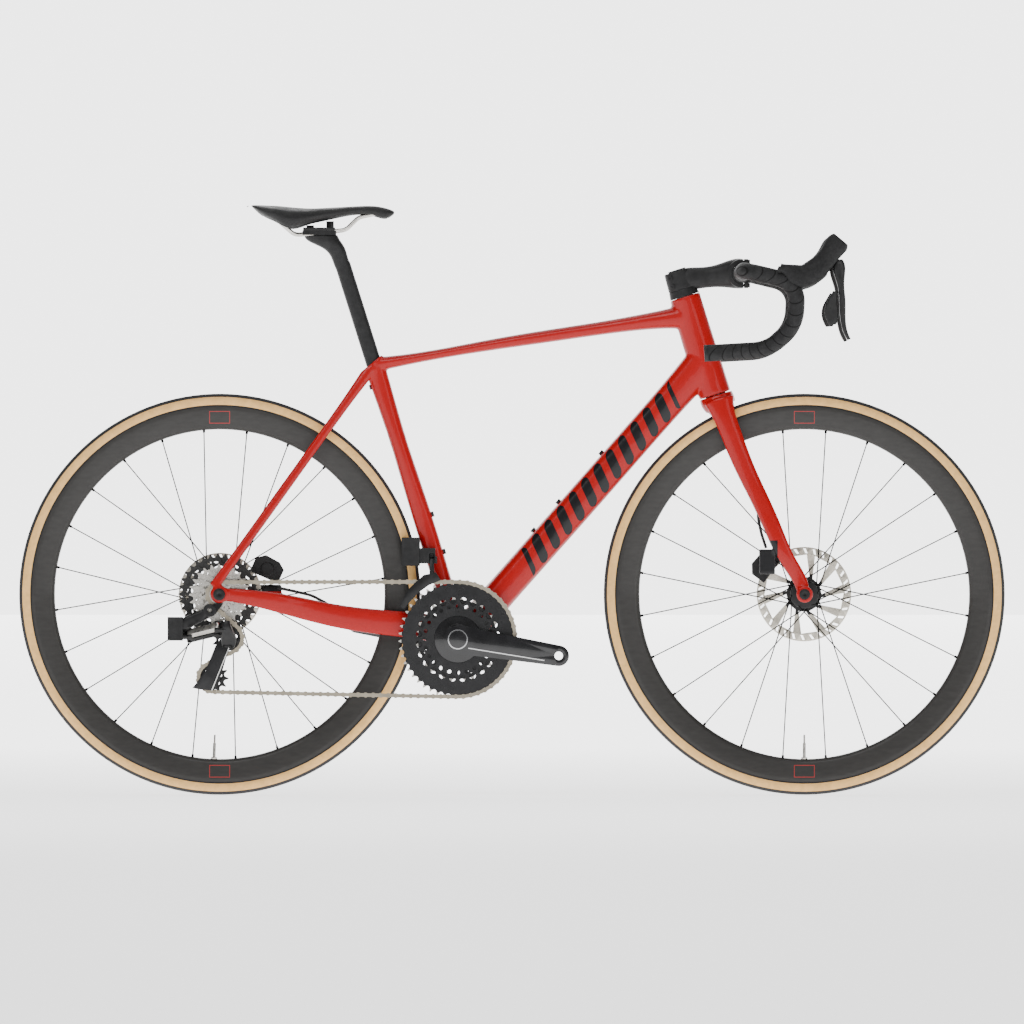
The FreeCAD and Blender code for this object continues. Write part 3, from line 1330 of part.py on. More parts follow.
def build_rear_derailleur():
    """Hanger, knuckles, links, cage and pulleys of the rear derailleur."""
    outer_face = -size(REAR_TIP)
    hang = REAR_AXLE + LEFT * outer_face
    bolt_spot = Vector(HANGER_BOLT.x, outer_face, HANGER_BOLT.z)
    neck = Part.makePolygon([
        hang + Vector(-8, 0, -15), hang + Vector(7, 0, -15), bolt_spot + Vector(10, 0, -6),
        bolt_spot + Vector(-10, 0, -2), hang + Vector(-8, 0, -15)])
    plate_neck = Part.Face(neck).extrude(LEFT * -7)
    eye = cylinder(11, 7, bolt_spot, LEFT * -1)
    hanger = plate_neck.fuse(eye).cut(cylinder(5.05, 40, bolt_spot + LEFT * 20, LEFT * -1))
    hanger = hanger.cut(cylinder(size("dropout_radius + 1.05"), 40, hang + LEFT * 20, LEFT * -1))
    solid("derailleur_hanger", hanger)

    boss_top = outer_face - 7
    boss = cylinder(10.5, 12, Vector(bolt_spot.x, boss_top, bolt_spot.z), LEFT * -1)
    spigot = cylinder(5.0, 19, Vector(bolt_spot.x, boss_top + 7, bolt_spot.z), LEFT * -1)
    inner_pivot = UPPER_PIVOT + LINK_ACROSS * 13
    fork_height = 20
    yoke_centre = (UPPER_PIVOT + inner_pivot) / 2
    back = yoke_centre + Vector(-9, 0, 2)
    arm = tube([
        (bolt_spot.x, boss_top - 6, bolt_spot.z, 18, 11),
        (bolt_spot.x - 14, boss_top - 6.5, bolt_spot.z - 9, 18, 11),
        (back.x, boss_top - 6, bolt_spot.z - 26, 20, 12),
        (back.x - 3, back.y, back.z, 26, 15),
    ], 3)
    yokes = []
    pins = []
    for spot in (UPPER_PIVOT, inner_pivot):
        for side in (-1, 1):
            ear = pivot_lug(spot + LINK_AXIS * (side * 8), 5, 4, 0)
            web = Part.makeBox(13, 7, 4)
            web.translate(Vector(-13, -3.5, -2))
            web.Placement = Placement(spot + LINK_AXIS * (side * 8), Rotation(Vector(0, 0, 1), LINK_AXIS)).multiply(
                web.Placement)
            yokes += [ear, web]
        pins.append(cylinder(PIN_RADIUS, fork_height, spot - LINK_AXIS * (fork_height / 2), LINK_AXIS))
    knuckle = boss.multiFuse([spigot, arm] + yokes + pins)
    hole = cylinder(4, 40, Vector(bolt_spot.x, boss_top + 20, bolt_spot.z), LEFT * -1)
    knuckle = knuckle.cut(hole)
    solid("rear_derailleur_knuckle", max(knuckle.Solids, key=lambda piece: piece.Volume))

    lower_outer = UPPER_PIVOT + LINK_SPAN
    lower_inner = inner_pivot + LINK_SPAN
    solid("rear_derailleur_outer_link", link_between(UPPER_PIVOT, lower_outer, 4.6, 11.6))
    solid("rear_derailleur_inner_link", link_between(inner_pivot, lower_inner, 4.6, 11.6))

    guide = GUIDE_PULLEY
    lower = []
    for spot in (lower_outer, lower_inner):
        for side in (-1, 1):
            lower.append(pivot_lug(spot + LINK_AXIS * (side * 8), 5, 4, 0))
            web = Part.makeBox(14, 7, 4)
            web.translate(Vector(0, -3.5, -2))
            web.Placement = Placement(spot + LINK_AXIS * (side * 8), Rotation(Vector(0, 0, 1), LINK_AXIS)).multiply(
                web.Placement)
            lower.append(web)
        lower.append(cylinder(PIN_RADIUS, fork_height, spot - LINK_AXIS * (fork_height / 2), LINK_AXIS))
    block_centre = (lower_outer + lower_inner) / 2 + Vector(15, 0, 0)
    cage_face = guide.y - CAGE_HALF - 2.1
    block = tube([
        (block_centre.x, block_centre.y, block_centre.z + 14, 14, 22),
        (block_centre.x + 1, block_centre.y, block_centre.z, 20, 24),
        (guide.x + 1, cage_face - 9, guide.z - 2, 26, 17),
        (guide.x, cage_face - 8.5, guide.z - 16, 20, 16),
    ], 3)
    swivel = cylinder(11, 8.5, Vector(guide.x, cage_face - 8.5, guide.z), LEFT)
    stub = cylinder(4, 10.5, Vector(guide.x, cage_face - 8.5, guide.z), LEFT)
    lower_knuckle = block.multiFuse([swivel, stub] + lower)
    trim = cylinder(60, 60, Vector(guide.x, cage_face, guide.z), LEFT)
    trim = trim.cut(cylinder(4.0, 60, Vector(guide.x, cage_face, guide.z), LEFT))
    lower_knuckle = lower_knuckle.cut(trim)
    solid("rear_derailleur_lower_knuckle", max(lower_knuckle.Solids, key=lambda piece: piece.Volume))
    build_cage(guide)

    battery = Part.makeBox(26, 22, 40, UPPER_PIVOT + Vector(-37, -9, -12))
    front_battery = Part.makeBox(31, 20, 48, FRONT_CHANGER + Vector(-49, -17, -18))
    solid("derailleur_batteries", Part.makeCompound([battery, front_battery]))


CAGE_HALF = 4.2


def build_cage(guide):
    """The two cage plates with their pulley bolts, and the two pulleys."""
    span = TENSION_PULLEY - guide
    along = Vector(span.x, 0, span.z).normalize()
    across = Vector(-along.z, 0, along.x)
    outline = [
        guide - along * 12 + across * 8, guide - along * 12 - across * 8, guide + along * 20 - across * 15,
        TENSION_PULLEY - along * 6 - across * 15, TENSION_PULLEY + along * 20 - across * 22,
        TENSION_PULLEY + along * 29 - across * 25, TENSION_PULLEY + along * 27 - across * 13,
        TENSION_PULLEY + along * 20 + across * 10, TENSION_PULLEY + along * 8 + across * 14,
        guide + along * 30 + across * 9, guide - along * 12 + across * 8]
    sheet_metal = Part.Face(Part.makePolygon(outline)).extrude(LEFT * 2)
    outer = sheet_metal.translated(LEFT * (-CAGE_HALF - 2))
    inner = sheet_metal.translated(LEFT * CAGE_HALF)
    hub_radius = 3.0
    parts = [outer, inner]
    for spot in (guide, TENSION_PULLEY):
        parts.append(cylinder(hub_radius, 2 * CAGE_HALF + 3, spot - LEFT * (CAGE_HALF + 1.5), LEFT))
    cage = parts[0].multiFuse(parts[1:])
    swivel_hole = cylinder(4.05, 6, Vector(guide.x, guide.y - CAGE_HALF - 6 + 2.2, guide.z), LEFT)
    cage = cage.cut(swivel_hole)
    solid("rear_derailleur_cage", max(cage.Solids, key=lambda piece: piece.Volume))
    for name, centre in (("guide_pulley", guide), ("tension_pulley", TENSION_PULLEY)):
        phase = gap_angle(centre, pitch_radius(size("pulley_teeth")))
        wheel = sprocket(int(size("pulley_teeth")), 1.9, 0, hub_radius + 0.05, phase)
        collar = cylinder(6, 6.4, LEFT * -3.2, LEFT).cut(cylinder(hub_radius + 0.05, 9, LEFT * -4.5, LEFT))
        wheel = windows(wheel.fuse(collar), 13.5, 3, 6, 15)
        solid(name, wheel, Placement(centre, Rotation()))


FRONT_CHANGER = CRANK_CENTRE + Vector(-46, -20, 142)
FRONT_LINK_WIDTH = 8.0
FRONT_LINK_DROP = Vector(0, -9, -30)


def build_front_derailleur():
    """Body on the seat tube, swing link and chain cage."""
    body_at = FRONT_CHANGER
    pivot = Vector(body_at.x + 2, -28, body_at.z - 8)
    block = Part.makeBox(26, 20, 26, body_at + Vector(-18, -17, -14))
    yoke = Part.makeBox(18, 13, 12, pivot - Vector(9, 5, 6))
    room = FRONT_LINK_WIDTH + 0.6
    slot = Part.makeBox(room, 16, 22, pivot - Vector(room / 2, 11, 11))
    pin = cylinder(2.5, 17, pivot - Vector(8.5, 0, 0), Vector(1, 0, 0))
    body = block.fuse(yoke).cut(NODES["frame"].Shape).cut(slot).fuse(pin)
    solid("front_derailleur_body", max(body.Solids, key=lambda piece: piece.Volume))
    lower = pivot + FRONT_LINK_DROP
    solid("front_derailleur_link", swing_link(pivot, lower, FRONT_LINK_WIDTH))
    ring_top = pitch_radius(size("big_teeth"))
    cage_outline = []
    for radius, angle in ((7, 106), (22, 108), (26, 118), (22, 135), (17, 150), (8, 151), (6, 130), (6.5, 118)):
        turn = math.radians(angle)
        reach = ring_top + radius
        cage_outline.append(CRANK_CENTRE + Vector(math.cos(turn) * reach, 0, math.sin(turn) * reach))
    sheet_metal = Part.Face(Part.makePolygon(cage_outline + cage_outline[:1])).extrude(LEFT * 1.2)
    outer = sheet_metal.translated(LEFT * (RING_LINE - 8.2))
    inner = sheet_metal.translated(LEFT * (RING_LINE + 4.6))
    bridge_at = (cage_outline[1] + cage_outline[2]) / 2 + LEFT * RING_LINE
    bridge = Part.makeBox(9, 13.9, 4, bridge_at + Vector(-4.5, -8.1, -6))
    ear = Part.makeBox(3, 22, 6, lower + Vector(-1.5, -18.2, -1))
    ear = ear.fuse(cylinder(4.5, 3, lower - Vector(1.5, 0, 0), Vector(1, 0, 0)))
    cage = outer.multiFuse([inner, bridge, ear])
    cage = cage.cut(cylinder(2.55, 40, lower - Vector(20, 0, 0), Vector(1, 0, 0)))
    solid("front_derailleur_cage", max(cage.Solids, key=lambda piece: piece.Volume))


def swing_link(pivot, lower, width):
    """A forked link that hangs from the upper pin and carries the lower one."""
    along = (lower - pivot).normalize()
    across = Vector(1, 0, 0).cross(along)
    corner = pivot - Vector(width / 2, 0, 0) - across * 4
    outline = [corner, corner + (lower - pivot), corner + (lower - pivot) + across * 8, corner + across * 8, corner]
    bar = Part.Face(Part.makePolygon(outline)).extrude(Vector(width, 0, 0))
    ends = [cylinder(4, width, spot - Vector(width / 2, 0, 0), Vector(1, 0, 0)) for spot in (pivot, lower)]
    link = bar.multiFuse(ends)
    link = link.cut(cylinder(2.55, 60, pivot - Vector(30, 0, 0), Vector(1, 0, 0)))
    link = link.cut(Part.makeBox(3.6, 11, 14, lower - Vector(1.8, 5.5, 7)))
    return link.fuse(cylinder(2.5, width, lower - Vector(width / 2, 0, 0), Vector(1, 0, 0)))


# ---------------------------------------------------------------- brakes


def caliper(prefix, holder, line, centre, turn):
    """A two-piston caliper around the disc at y = line, seated on its holder, with its two pads."""
    thickness = size("rotor_thickness")
    pad = size("pad_thickness")
    gap = size("pad_gap")
    wall = size("caliper_wall")
    slot = thickness / 2 + gap + pad
    place = Placement(centre, Rotation(LEFT, turn))
    half = [Vector(-26, 0, -17), Vector(26, 0, -17), Vector(26, 0, 8), Vector(14, 0, 17),
            Vector(-12, 0, 19), Vector(-26, 0, 8), Vector(-26, 0, -17)]
    block = Part.Face(Part.makePolygon(half)).extrude(LEFT * (2 * (slot + wall)))
    block.translate(LEFT * -(slot + wall))
    channel = Part.makeBox(54, 2 * slot, 26, Vector(-27, -slot, -18))
    piston_caps = [cylinder(11, 2.5, Vector(0, side * (slot + wall), -2), LEFT * side) for side in (-1, 1)]
    body = block.cut(channel).multiFuse(piston_caps)
    body.Placement = place
    body.translate(LEFT * line)
    body = body.cut(NODES[holder].Shape)
    solid(f"{prefix}_brake_caliper", max(body.Solids, key=lambda piece: piece.Volume))
    pad_box = Part.makeBox(30, pad, 20, Vector(-15, thickness / 2 + gap, -16))
    for name, side in (("outer", 1), ("inner", -1)):
        shape = pad_box if side > 0 else mirrored(pad_box)
        shape = shape.copy()
        shape.Placement = place.multiply(shape.Placement)
        shape.translate(LEFT * line)
        solid(f"{prefix}_{name}_brake_pad", shape)


def build_brakes():
    """Both calipers with pads, and the visible hose at each."""
    front_centre = FRONT_AXLE + Vector(-66, 0, 50)
    rear_centre = REAR_AXLE + Vector(81, 0, 44)
    caliper("front", "fork", size("front_rotor_line"), front_centre, -53)
    caliper("rear", "frame", size("rear_rotor_line"), rear_centre, 24)
    radius = size("hose_radius")
    rear_end = rear_centre + Vector(16, size("rear_rotor_line") - 9, -33)
    rear_hose = rod([
        rear_end,
        rear_end + Vector(28, -1, -6),
        rear_end + Vector(58, -3, -13),
        rear_end + Vector(84, -5, -27),
    ], radius, 60)
    solid("rear_brake_hose", outside_of(rear_hose, "frame", "rear_brake_caliper"))
    front_end = front_centre + Vector(2, size("front_rotor_line"), 28)
    front_hose = rod([
        front_end,
        front_end + Vector(-8, 1, 24),
        front_end + Vector(-14, -1, 52),
        front_end + Vector(-12, -6, 80),
    ], radius, 60)
    solid("front_brake_hose", outside_of(front_hose, "fork", "front_brake_caliper"))


def outside_of(shape, *names):
    """The largest part of a shape that lies outside the named pieces."""
    for name in names:
        shape = shape.cut(NODES[name].Shape)
    return max(shape.Solids, key=lambda piece: piece.Volume)


def finish():
    """Recompute, check every object and sub-part, and write each sub-part to its own file."""
    doc.recompute()
    for item in doc.Objects:
        if {"Invalid", "Error"} & set(item.State):
            raise RuntimeError(f"{item.Name} did not build: {item.State}")
    os.makedirs("parts", exist_ok=True)
    for name, item in NODES.items():
        if item.Shape.isNull() or not item.Shape.isValid():
            raise RuntimeError(f"{name} has no valid shape")
        item.Shape.exportStep(f"parts/{name}.step")



build_wheels()
build_cassette()
build_crank()
chain()
build_frame()
frame_hardware()
build_fork()
clamp_centre = build_stem()
build_bar(clamp_centre)
build_controls(clamp_centre)
build_seat()
build_rear_derailleur()
build_front_derailleur()
build_brakes()
finish()
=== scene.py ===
import json
import math

import bmesh
import bpy
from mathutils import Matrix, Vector


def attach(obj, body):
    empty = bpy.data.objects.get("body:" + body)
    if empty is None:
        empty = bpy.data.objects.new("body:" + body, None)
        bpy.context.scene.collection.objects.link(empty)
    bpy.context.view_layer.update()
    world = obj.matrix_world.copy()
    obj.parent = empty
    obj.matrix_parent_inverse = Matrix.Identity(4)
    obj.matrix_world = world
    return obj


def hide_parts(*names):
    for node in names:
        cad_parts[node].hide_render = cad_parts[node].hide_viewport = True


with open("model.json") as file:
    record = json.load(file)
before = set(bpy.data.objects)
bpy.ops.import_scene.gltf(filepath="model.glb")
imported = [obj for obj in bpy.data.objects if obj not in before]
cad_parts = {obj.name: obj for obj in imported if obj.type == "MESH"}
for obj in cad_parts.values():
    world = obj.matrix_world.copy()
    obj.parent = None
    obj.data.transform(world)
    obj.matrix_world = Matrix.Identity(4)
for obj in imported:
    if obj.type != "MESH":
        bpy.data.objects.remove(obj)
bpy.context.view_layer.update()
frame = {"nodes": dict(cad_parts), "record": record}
BODY_OF = {node: body for body, nodes in frame["record"]["behaviour"]["bodies"].items() for node in nodes}
SLOT_OF = {entry["node"]: entry["material_slot"] for entry in frame["record"]["subparts"]}

FRONT = Vector((0.494, 0, 0.339))
REAR = Vector((-0.494, 0, 0.339))
CRANK = Vector((-0.0915, 0, 0.263))
DOWN_TUBE_FOOT = (-0.0875, 0.263)
DOWN_TUBE_WAY = (0.6587, 0.7524)
BAR_STEP = 0.0315
BAR_MIDDLE = 0.0155
BAR_HALF_LENGTH = 0.0135
BAR_RADIUS = 0.0092

# ---------------------------------------------------------------- materials


class Paint:
    """A principled material whose colour, roughness and surface are built from noise in object space."""

    def __init__(self, name, color, rough, metal=0.0, coat=0.0, specular=0.5):
        self.material = bpy.data.materials.new(name)
        self.material.use_nodes = True
        self.nodes = self.material.node_tree.nodes
        self.links = self.material.node_tree.links
        self.shader = self.nodes["Principled BSDF"]
        self.base = color
        self.shader.inputs["Base Color"].default_value = (*color, 1)
        self.shader.inputs["Roughness"].default_value = rough
        self.shader.inputs["Metallic"].default_value = metal
        self.shader.inputs["Coat Weight"].default_value = coat
        self.shader.inputs["Coat Roughness"].default_value = 0.04
        self.shader.inputs["Specular IOR Level"].default_value = specular
        self.rough = rough
        self.place = self.add("ShaderNodeTexCoord").outputs["Object"]

    def add(self, kind, **values):
        node = self.nodes.new(kind)
        for key, value in values.items():
            if hasattr(node, key):
                setattr(node, key, value)
            else:
                node.inputs[key.replace("_", " ")].default_value = value
        return node

    def noise(self, scale, detail=3.0, stretch=None):
        place = self.place
        if stretch:
            mapping = self.add("ShaderNodeMapping")
            mapping.inputs["Scale"].default_value = stretch
            self.links.new(place, mapping.inputs["Vector"])
            place = mapping.outputs["Vector"]
        texture = self.add("ShaderNodeTexNoise")
        texture.inputs["Scale"].default_value = scale
        texture.inputs["Detail"].default_value = detail
        self.links.new(place, texture.inputs["Vector"])
        return texture.outputs["Fac"]

    def ramp(self, source, low, high):
        spread = self.add("ShaderNodeMapRange")
        spread.inputs["From Min"].default_value = 0.3
        spread.inputs["From Max"].default_value = 0.7
        spread.inputs["To Min"].default_value = low
        spread.inputs["To Max"].default_value = high
        self.links.new(source, spread.inputs["Value"])
        return spread.outputs["Result"]

    def mottle(self, scale, amount, stretch=None):
        """Colour that wanders a little about its base."""
        mix = self.add("ShaderNodeMix", data_type="RGBA")
        mix.inputs["A"].default_value = (*[min(1, c * (1 - amount)) for c in self.base], 1)
        mix.inputs["B"].default_value = (*[min(1, c * (1 + amount) + 0.004) for c in self.base], 1)
        self.links.new(self.ramp(self.noise(scale, 4, stretch), 0, 1), mix.inputs["Factor"])
        self.links.new(mix.outputs["Result"], self.shader.inputs["Base Color"])
        return self

    def wear(self, scale, amount, stretch=None):
        """Roughness that wanders a little about its base."""
        low, high = max(0.02, self.rough - amount), min(1, self.rough + amount)
        self.links.new(self.ramp(self.noise(scale, 3, stretch), low, high), self.shader.inputs["Roughness"])
        return self

    def grain(self, scale, strength, stretch=None, distance=0.0004):
        """A fine relief."""
        bump = self.add("ShaderNodeBump")
        bump.inputs["Strength"].default_value = strength
        bump.inputs["Distance"].default_value = distance
        self.links.new(self.noise(scale, 2, stretch), bump.inputs["Height"])
        self.links.new(bump.outputs["Normal"], self.shader.inputs["Normal"])
        return self

    def axis(self, which):
        """One coordinate of the piece's own place."""
        split = self.add("ShaderNodeSeparateXYZ")
        self.links.new(self.place, split.inputs["Vector"])
        return split.outputs[which]

    def math(self, operation, first, second=0.0):
        node = self.add("ShaderNodeMath", operation=operation)
        for value, socket in ((first, node.inputs[0]), (second, node.inputs[1])):
            if isinstance(value, (int, float)):
                socket.default_value = value
            else:
                self.links.new(value, socket)
        return node.outputs[0]

    def radius(self, centre):
        """Distance from an axis through centre that lies along Y."""
        across = self.math("SUBTRACT", self.axis("X"), centre.x)
        up = self.math("SUBTRACT", self.axis("Z"), centre.z)
        square = self.math("ADD", self.math("MULTIPLY", across, across), self.math("MULTIPLY", up, up))
        return self.math("SQRT", square)

    def paint_where(self, mask, color, rough=None, metal=None):
        """Another colour and finish where the mask is one."""
        mix = self.add("ShaderNodeMix", data_type="RGBA")
        old = self.shader.inputs["Base Color"]
        if old.is_linked:
            self.links.new(old.links[0].from_socket, mix.inputs["A"])
        else:
            mix.inputs["A"].default_value = old.default_value
        mix.inputs["B"].default_value = (*color, 1)
        self.links.new(mask, mix.inputs["Factor"])
        self.links.new(mix.outputs["Result"], old)
        for name, value in (("Roughness", rough), ("Metallic", metal)):
            if value is None:
                continue
            socket = self.shader.inputs[name]
            blend = self.add("ShaderNodeMix", data_type="FLOAT")
            if socket.is_linked:
                self.links.new(socket.links[0].from_socket, blend.inputs["A"])
            else:
                blend.inputs["A"].default_value = socket.default_value
            blend.inputs["B"].default_value = value
            self.links.new(mask, blend.inputs["Factor"])
            self.links.new(blend.outputs["Result"], socket)
        return self

    def between(self, value, low, high):
        """One where low < value < high."""
        return self.math("MULTIPLY", self.math("GREATER_THAN", value, low), self.math("LESS_THAN", value, high))

    def patch(self, x_span, z_span):
        """One inside a rectangle seen from the side."""
        return self.math("MULTIPLY", self.between(self.axis("X"), *x_span), self.between(self.axis("Z"), *z_span))

    def turned(self, foot, way):
        """Distances along and off a slanted line seen from the side."""
        across = self.math("SUBTRACT", self.axis("X"), foot[0])
        up = self.math("SUBTRACT", self.axis("Z"), foot[1])
        along = self.math("ADD", self.math("MULTIPLY", across, way[0]), self.math("MULTIPLY", up, way[1]))
        off = self.math("SUBTRACT", self.math("MULTIPLY", up, way[0]), self.math("MULTIPLY", across, way[1]))
        return along, off


def gloss_red():
    paint = Paint("gloss_red", (0.36, 0.0, 0.0003), 0.36, coat=0.25, specular=0.2)
    paint.mottle(900, 0.12).wear(40, 0.05).grain(700, 0.03)
    ink = (0.006, 0.006, 0.007)
    along, off = paint.turned(DOWN_TUBE_FOOT, DOWN_TUBE_WAY)
    lean = paint.math("ADD", along, paint.math("MULTIPLY", off, -0.45))
    step = paint.math("MODULO", lean, BAR_STEP)
    from_middle = paint.math("ABSOLUTE", paint.math("SUBTRACT", step, BAR_MIDDLE))
    above = paint.math("SUBTRACT", paint.math("ABSOLUTE", off), BAR_HALF_LENGTH)
    over = paint.math("MAXIMUM", above, 0)
    far = paint.math("SQRT", paint.math("ADD", paint.math("MULTIPLY", from_middle, from_middle),
                                        paint.math("MULTIPLY", over, over)))
    bars = paint.math("MULTIPLY", paint.math("LESS_THAN", far, BAR_RADIUS), paint.between(lean, 0.172, 0.55))
    beside = paint.math("GREATER_THAN", paint.math("ABSOLUTE", paint.axis("Y")), 0.012)
    paint.paint_where(paint.math("MULTIPLY", bars, beside), ink, rough=0.3)
    badge = paint.patch((0.33, 0.45), (0.735, 0.757))
    near = paint.math("LESS_THAN", paint.math("ABSOLUTE", paint.axis("Y")), 0.013)
    paint.paint_where(paint.math("MULTIPLY", badge, near), ink, rough=0.3)
    paint.paint_where(paint.patch((0.41, 0.4485), (0.36, 0.43)), ink, rough=0.5)
    rear_foot = paint.patch((-0.4425, -0.388), (0.3435, 0.36))
    outside = paint.math("GREATER_THAN", paint.axis("Y"), 0.0575)
    paint.paint_where(paint.math("MULTIPLY", rear_foot, outside), ink, rough=0.5)
    return paint.material


def black(name, level, rough, metal=0.0, coat=0.0, scale=300, relief=0.08, specular=0.5):
    paint = Paint(name, (level, level, level * 1.05), rough, metal, coat, specular)
    return paint.mottle(scale / 3, 0.25).wear(60, 0.08).grain(scale, relief).material


def bright(name, color, rough, scale=500):
    paint = Paint(name, color, rough, metal=1.0)
    return paint.mottle(60, 0.12).wear(90, 0.08).grain(scale, 0.06).material


def tyre_paint(name, centre):
    paint = Paint(name, (0.80, 0.47, 0.16), 0.75)
    paint.mottle(120, 0.10).wear(50, 0.06)
    reach = paint.radius(centre)
    paint.paint_where(paint.math("GREATER_THAN", reach, 0.3335), (0.016, 0.016, 0.017), rough=0.82)
    paint.paint_where(paint.math("LESS_THAN", reach, 0.3200), (0.02, 0.02, 0.02), rough=0.8)
    return paint.grain(900, 0.25).material


def rim_paint(name, centre):
    paint = Paint(name, (0.020, 0.0185, 0.017), 0.5, coat=0.1, specular=0.35)
    paint.mottle(60, 0.07, (1, 1, 3)).wear(60, 0.04)
    reach = paint.radius(centre)
    paint.paint_where(paint.math("GREATER_THAN", reach, 0.3155), (0.02, 0.019, 0.018), rough=0.6)
    for side in (1, -1):
        across = paint.math("ABSOLUTE", paint.math("SUBTRACT", paint.axis("X"), centre.x))
        height = paint.math("MULTIPLY", paint.math("SUBTRACT", paint.axis("Z"), centre.z), side)
        outer = paint.math("MULTIPLY", paint.math("LESS_THAN", across, 0.0175), paint.between(height, 0.2885, 0.3095))
        inner = paint.math("MULTIPLY", paint.math("LESS_THAN", across, 0.0164), paint.between(height, 0.2897, 0.3083))
        line = paint.math("SUBTRACT", outer, inner)
        paint.paint_where(line, (0.35, 0.02, 0.02), rough=0.5)
    return paint.grain(500, 0.05).material


def rotor_paint(name, centre):
    paint = Paint(name, (0.60, 0.56, 0.48), 0.34, metal=1.0)
    paint.mottle(80, 0.1).wear(200, 0.1)
    reach = paint.radius(centre)
    paint.paint_where(paint.math("LESS_THAN", reach, 0.036), (0.02, 0.02, 0.02), rough=0.5, metal=0.3)
    return paint.grain(600, 0.08).material


def cassette_paint():
    paint = Paint("cassette_steel", (0.52, 0.50, 0.46), 0.3, metal=1.0)
    paint.mottle(90, 0.12).wear(150, 0.08)
    depth = paint.axis("Y")
    paint.paint_where(paint.math("GREATER_THAN", depth, -0.0345), (0.03, 0.03, 0.03), rough=0.45, metal=0.6)
    return paint.grain(500, 0.05).material


def ring_paint():
    paint = Paint("ring_black", (0.007, 0.007, 0.008), 0.32, metal=0.1, coat=0.15, specular=0.3)
    paint.mottle(60, 0.2).wear(80, 0.08)
    reach = paint.radius(CRANK)
    big = paint.math("GREATER_THAN", reach, 0.0955)
    paint.paint_where(big, (0.55, 0.53, 0.49), rough=0.3, metal=1.0)
    behind = paint.math("GREATER_THAN", paint.axis("Y"), -0.043)
    inner = paint.math("MULTIPLY", behind, paint.math("GREATER_THAN", reach, 0.0675))
    paint.paint_where(inner, (0.50, 0.48, 0.45), rough=0.32, metal=1.0)
    return paint.grain(500, 0.04).material


def cage_paint():
    """Black plates with a polished front edge."""
    paint = Paint("cage_black", (0.007, 0.007, 0.008), 0.36, metal=0.1, specular=0.35)
    paint.mottle(60, 0.2).wear(80, 0.08)
    across = paint.math("SUBTRACT", paint.axis("X"), -0.479)
    down = paint.math("SUBTRACT", paint.axis("Z"), 0.265)
    off = paint.math("ADD", paint.math("MULTIPLY", across, 0.928), paint.math("MULTIPLY", down, -0.372))
    face = paint.math("LESS_THAN", paint.axis("Y"), -0.069)
    edge = paint.math("MULTIPLY", paint.between(off, 0.0065, 0.0080), face)
    paint.paint_where(edge, (0.7, 0.7, 0.68), rough=0.25, metal=1.0)
    return paint.grain(500, 0.04).material


def tape_paint():
    """Rubbery tape wound in turns, with painted shade darkening the crease where each turn overlaps the next, and a
    ridged relief there.
    """
    paint = Paint("tape", (0.009, 0.009, 0.0095), 0.66, specular=0.28)
    paint.mottle(100, 0.3).wear(60, 0.08)
    across = paint.math("SUBTRACT", paint.axis("X"), 0.385)
    up = paint.math("SUBTRACT", paint.axis("Z"), 0.812)
    turn = paint.math("MULTIPLY", paint.math("ARCTAN2", up, across), 4.6)
    flat = paint.math("MULTIPLY", paint.math("ABSOLUTE", paint.axis("Y")), 42.0)
    wound = paint.math("ADD", paint.math("ADD", turn, flat), 40)
    step = paint.math("FRACT", paint.math("ADD", wound, paint.math("MULTIPLY", paint.noise(20), 0.15)))
    # painted shade: the crease at each overlap of the turns is painted darker than the tape itself
    line = paint.math("LESS_THAN", step, 0.10)
    paint.paint_where(line, (0.002, 0.002, 0.002), rough=0.9)
    bump = paint.add("ShaderNodeBump")
    bump.inputs["Strength"].default_value = 0.7
    bump.inputs["Distance"].default_value = 0.0012
    relief = paint.math("ADD", step, paint.math("MULTIPLY", paint.noise(900), 0.15))
    paint.links.new(relief, bump.inputs["Height"])
    paint.links.new(bump.outputs["Normal"], paint.shader.inputs["Normal"])
    return paint.material


def crank_paint():
    paint = Paint("crank_gloss", (0.006, 0.006, 0.007), 0.2, coat=0.5, specular=0.35)
    paint.mottle(50, 0.3).wear(70, 0.05)
    turn = math.radians(-9.2)
    along, off = paint.turned((CRANK.x, CRANK.z), (math.cos(turn), math.sin(turn)))
    reach = paint.radius(CRANK)
    face = paint.math("LESS_THAN", paint.axis("Y"), -0.070)
    stripe = paint.math("MULTIPLY", paint.between(off, -0.0125, -0.0110), paint.between(along, 0.02, 0.150))
    paint.paint_where(paint.math("MULTIPLY", stripe, face), (0.6, 0.6, 0.6), rough=0.25, metal=1.0)
    collar = paint.math("MULTIPLY", paint.between(reach, 0.0150, 0.0168), face)
    paint.paint_where(collar, (0.45, 0.45, 0.46), rough=0.25, metal=1.0)
    return paint.grain(400, 0.03).material


MATERIALS = {
    "frame_paint": gloss_red(),
    "black_metal": black("black_metal", 0.008, 0.36, 0.2, specular=0.35),
    "steel": bright("steel", (0.62, 0.60, 0.56), 0.3),
    "chain_steel": bright("chain_steel", (0.36, 0.32, 0.25), 0.4),
    "spoke_black": black("spoke_black", 0.003, 0.6, specular=0.05),
    "matt_carbon": black("matt_carbon", 0.008, 0.5, specular=0.3),
    "hood_rubber": black("hood_rubber", 0.008, 0.68, scale=600, relief=0.3, specular=0.25),
    "hose_black": black("hose_black", 0.007, 0.4, specular=0.3),
    "pad_compound": bright("pad_compound", (0.2, 0.17, 0.14), 0.6),
    "bearing_steel": bright("bearing_steel", (0.6, 0.6, 0.6), 0.2),
    "crank_gloss": crank_paint(),
    "cassette_steel": cassette_paint(),
    "saddle_skin": black("saddle_skin", 0.008, 0.55, scale=1500, relief=0.2, specular=0.3),
    "tape": tape_paint(),
}
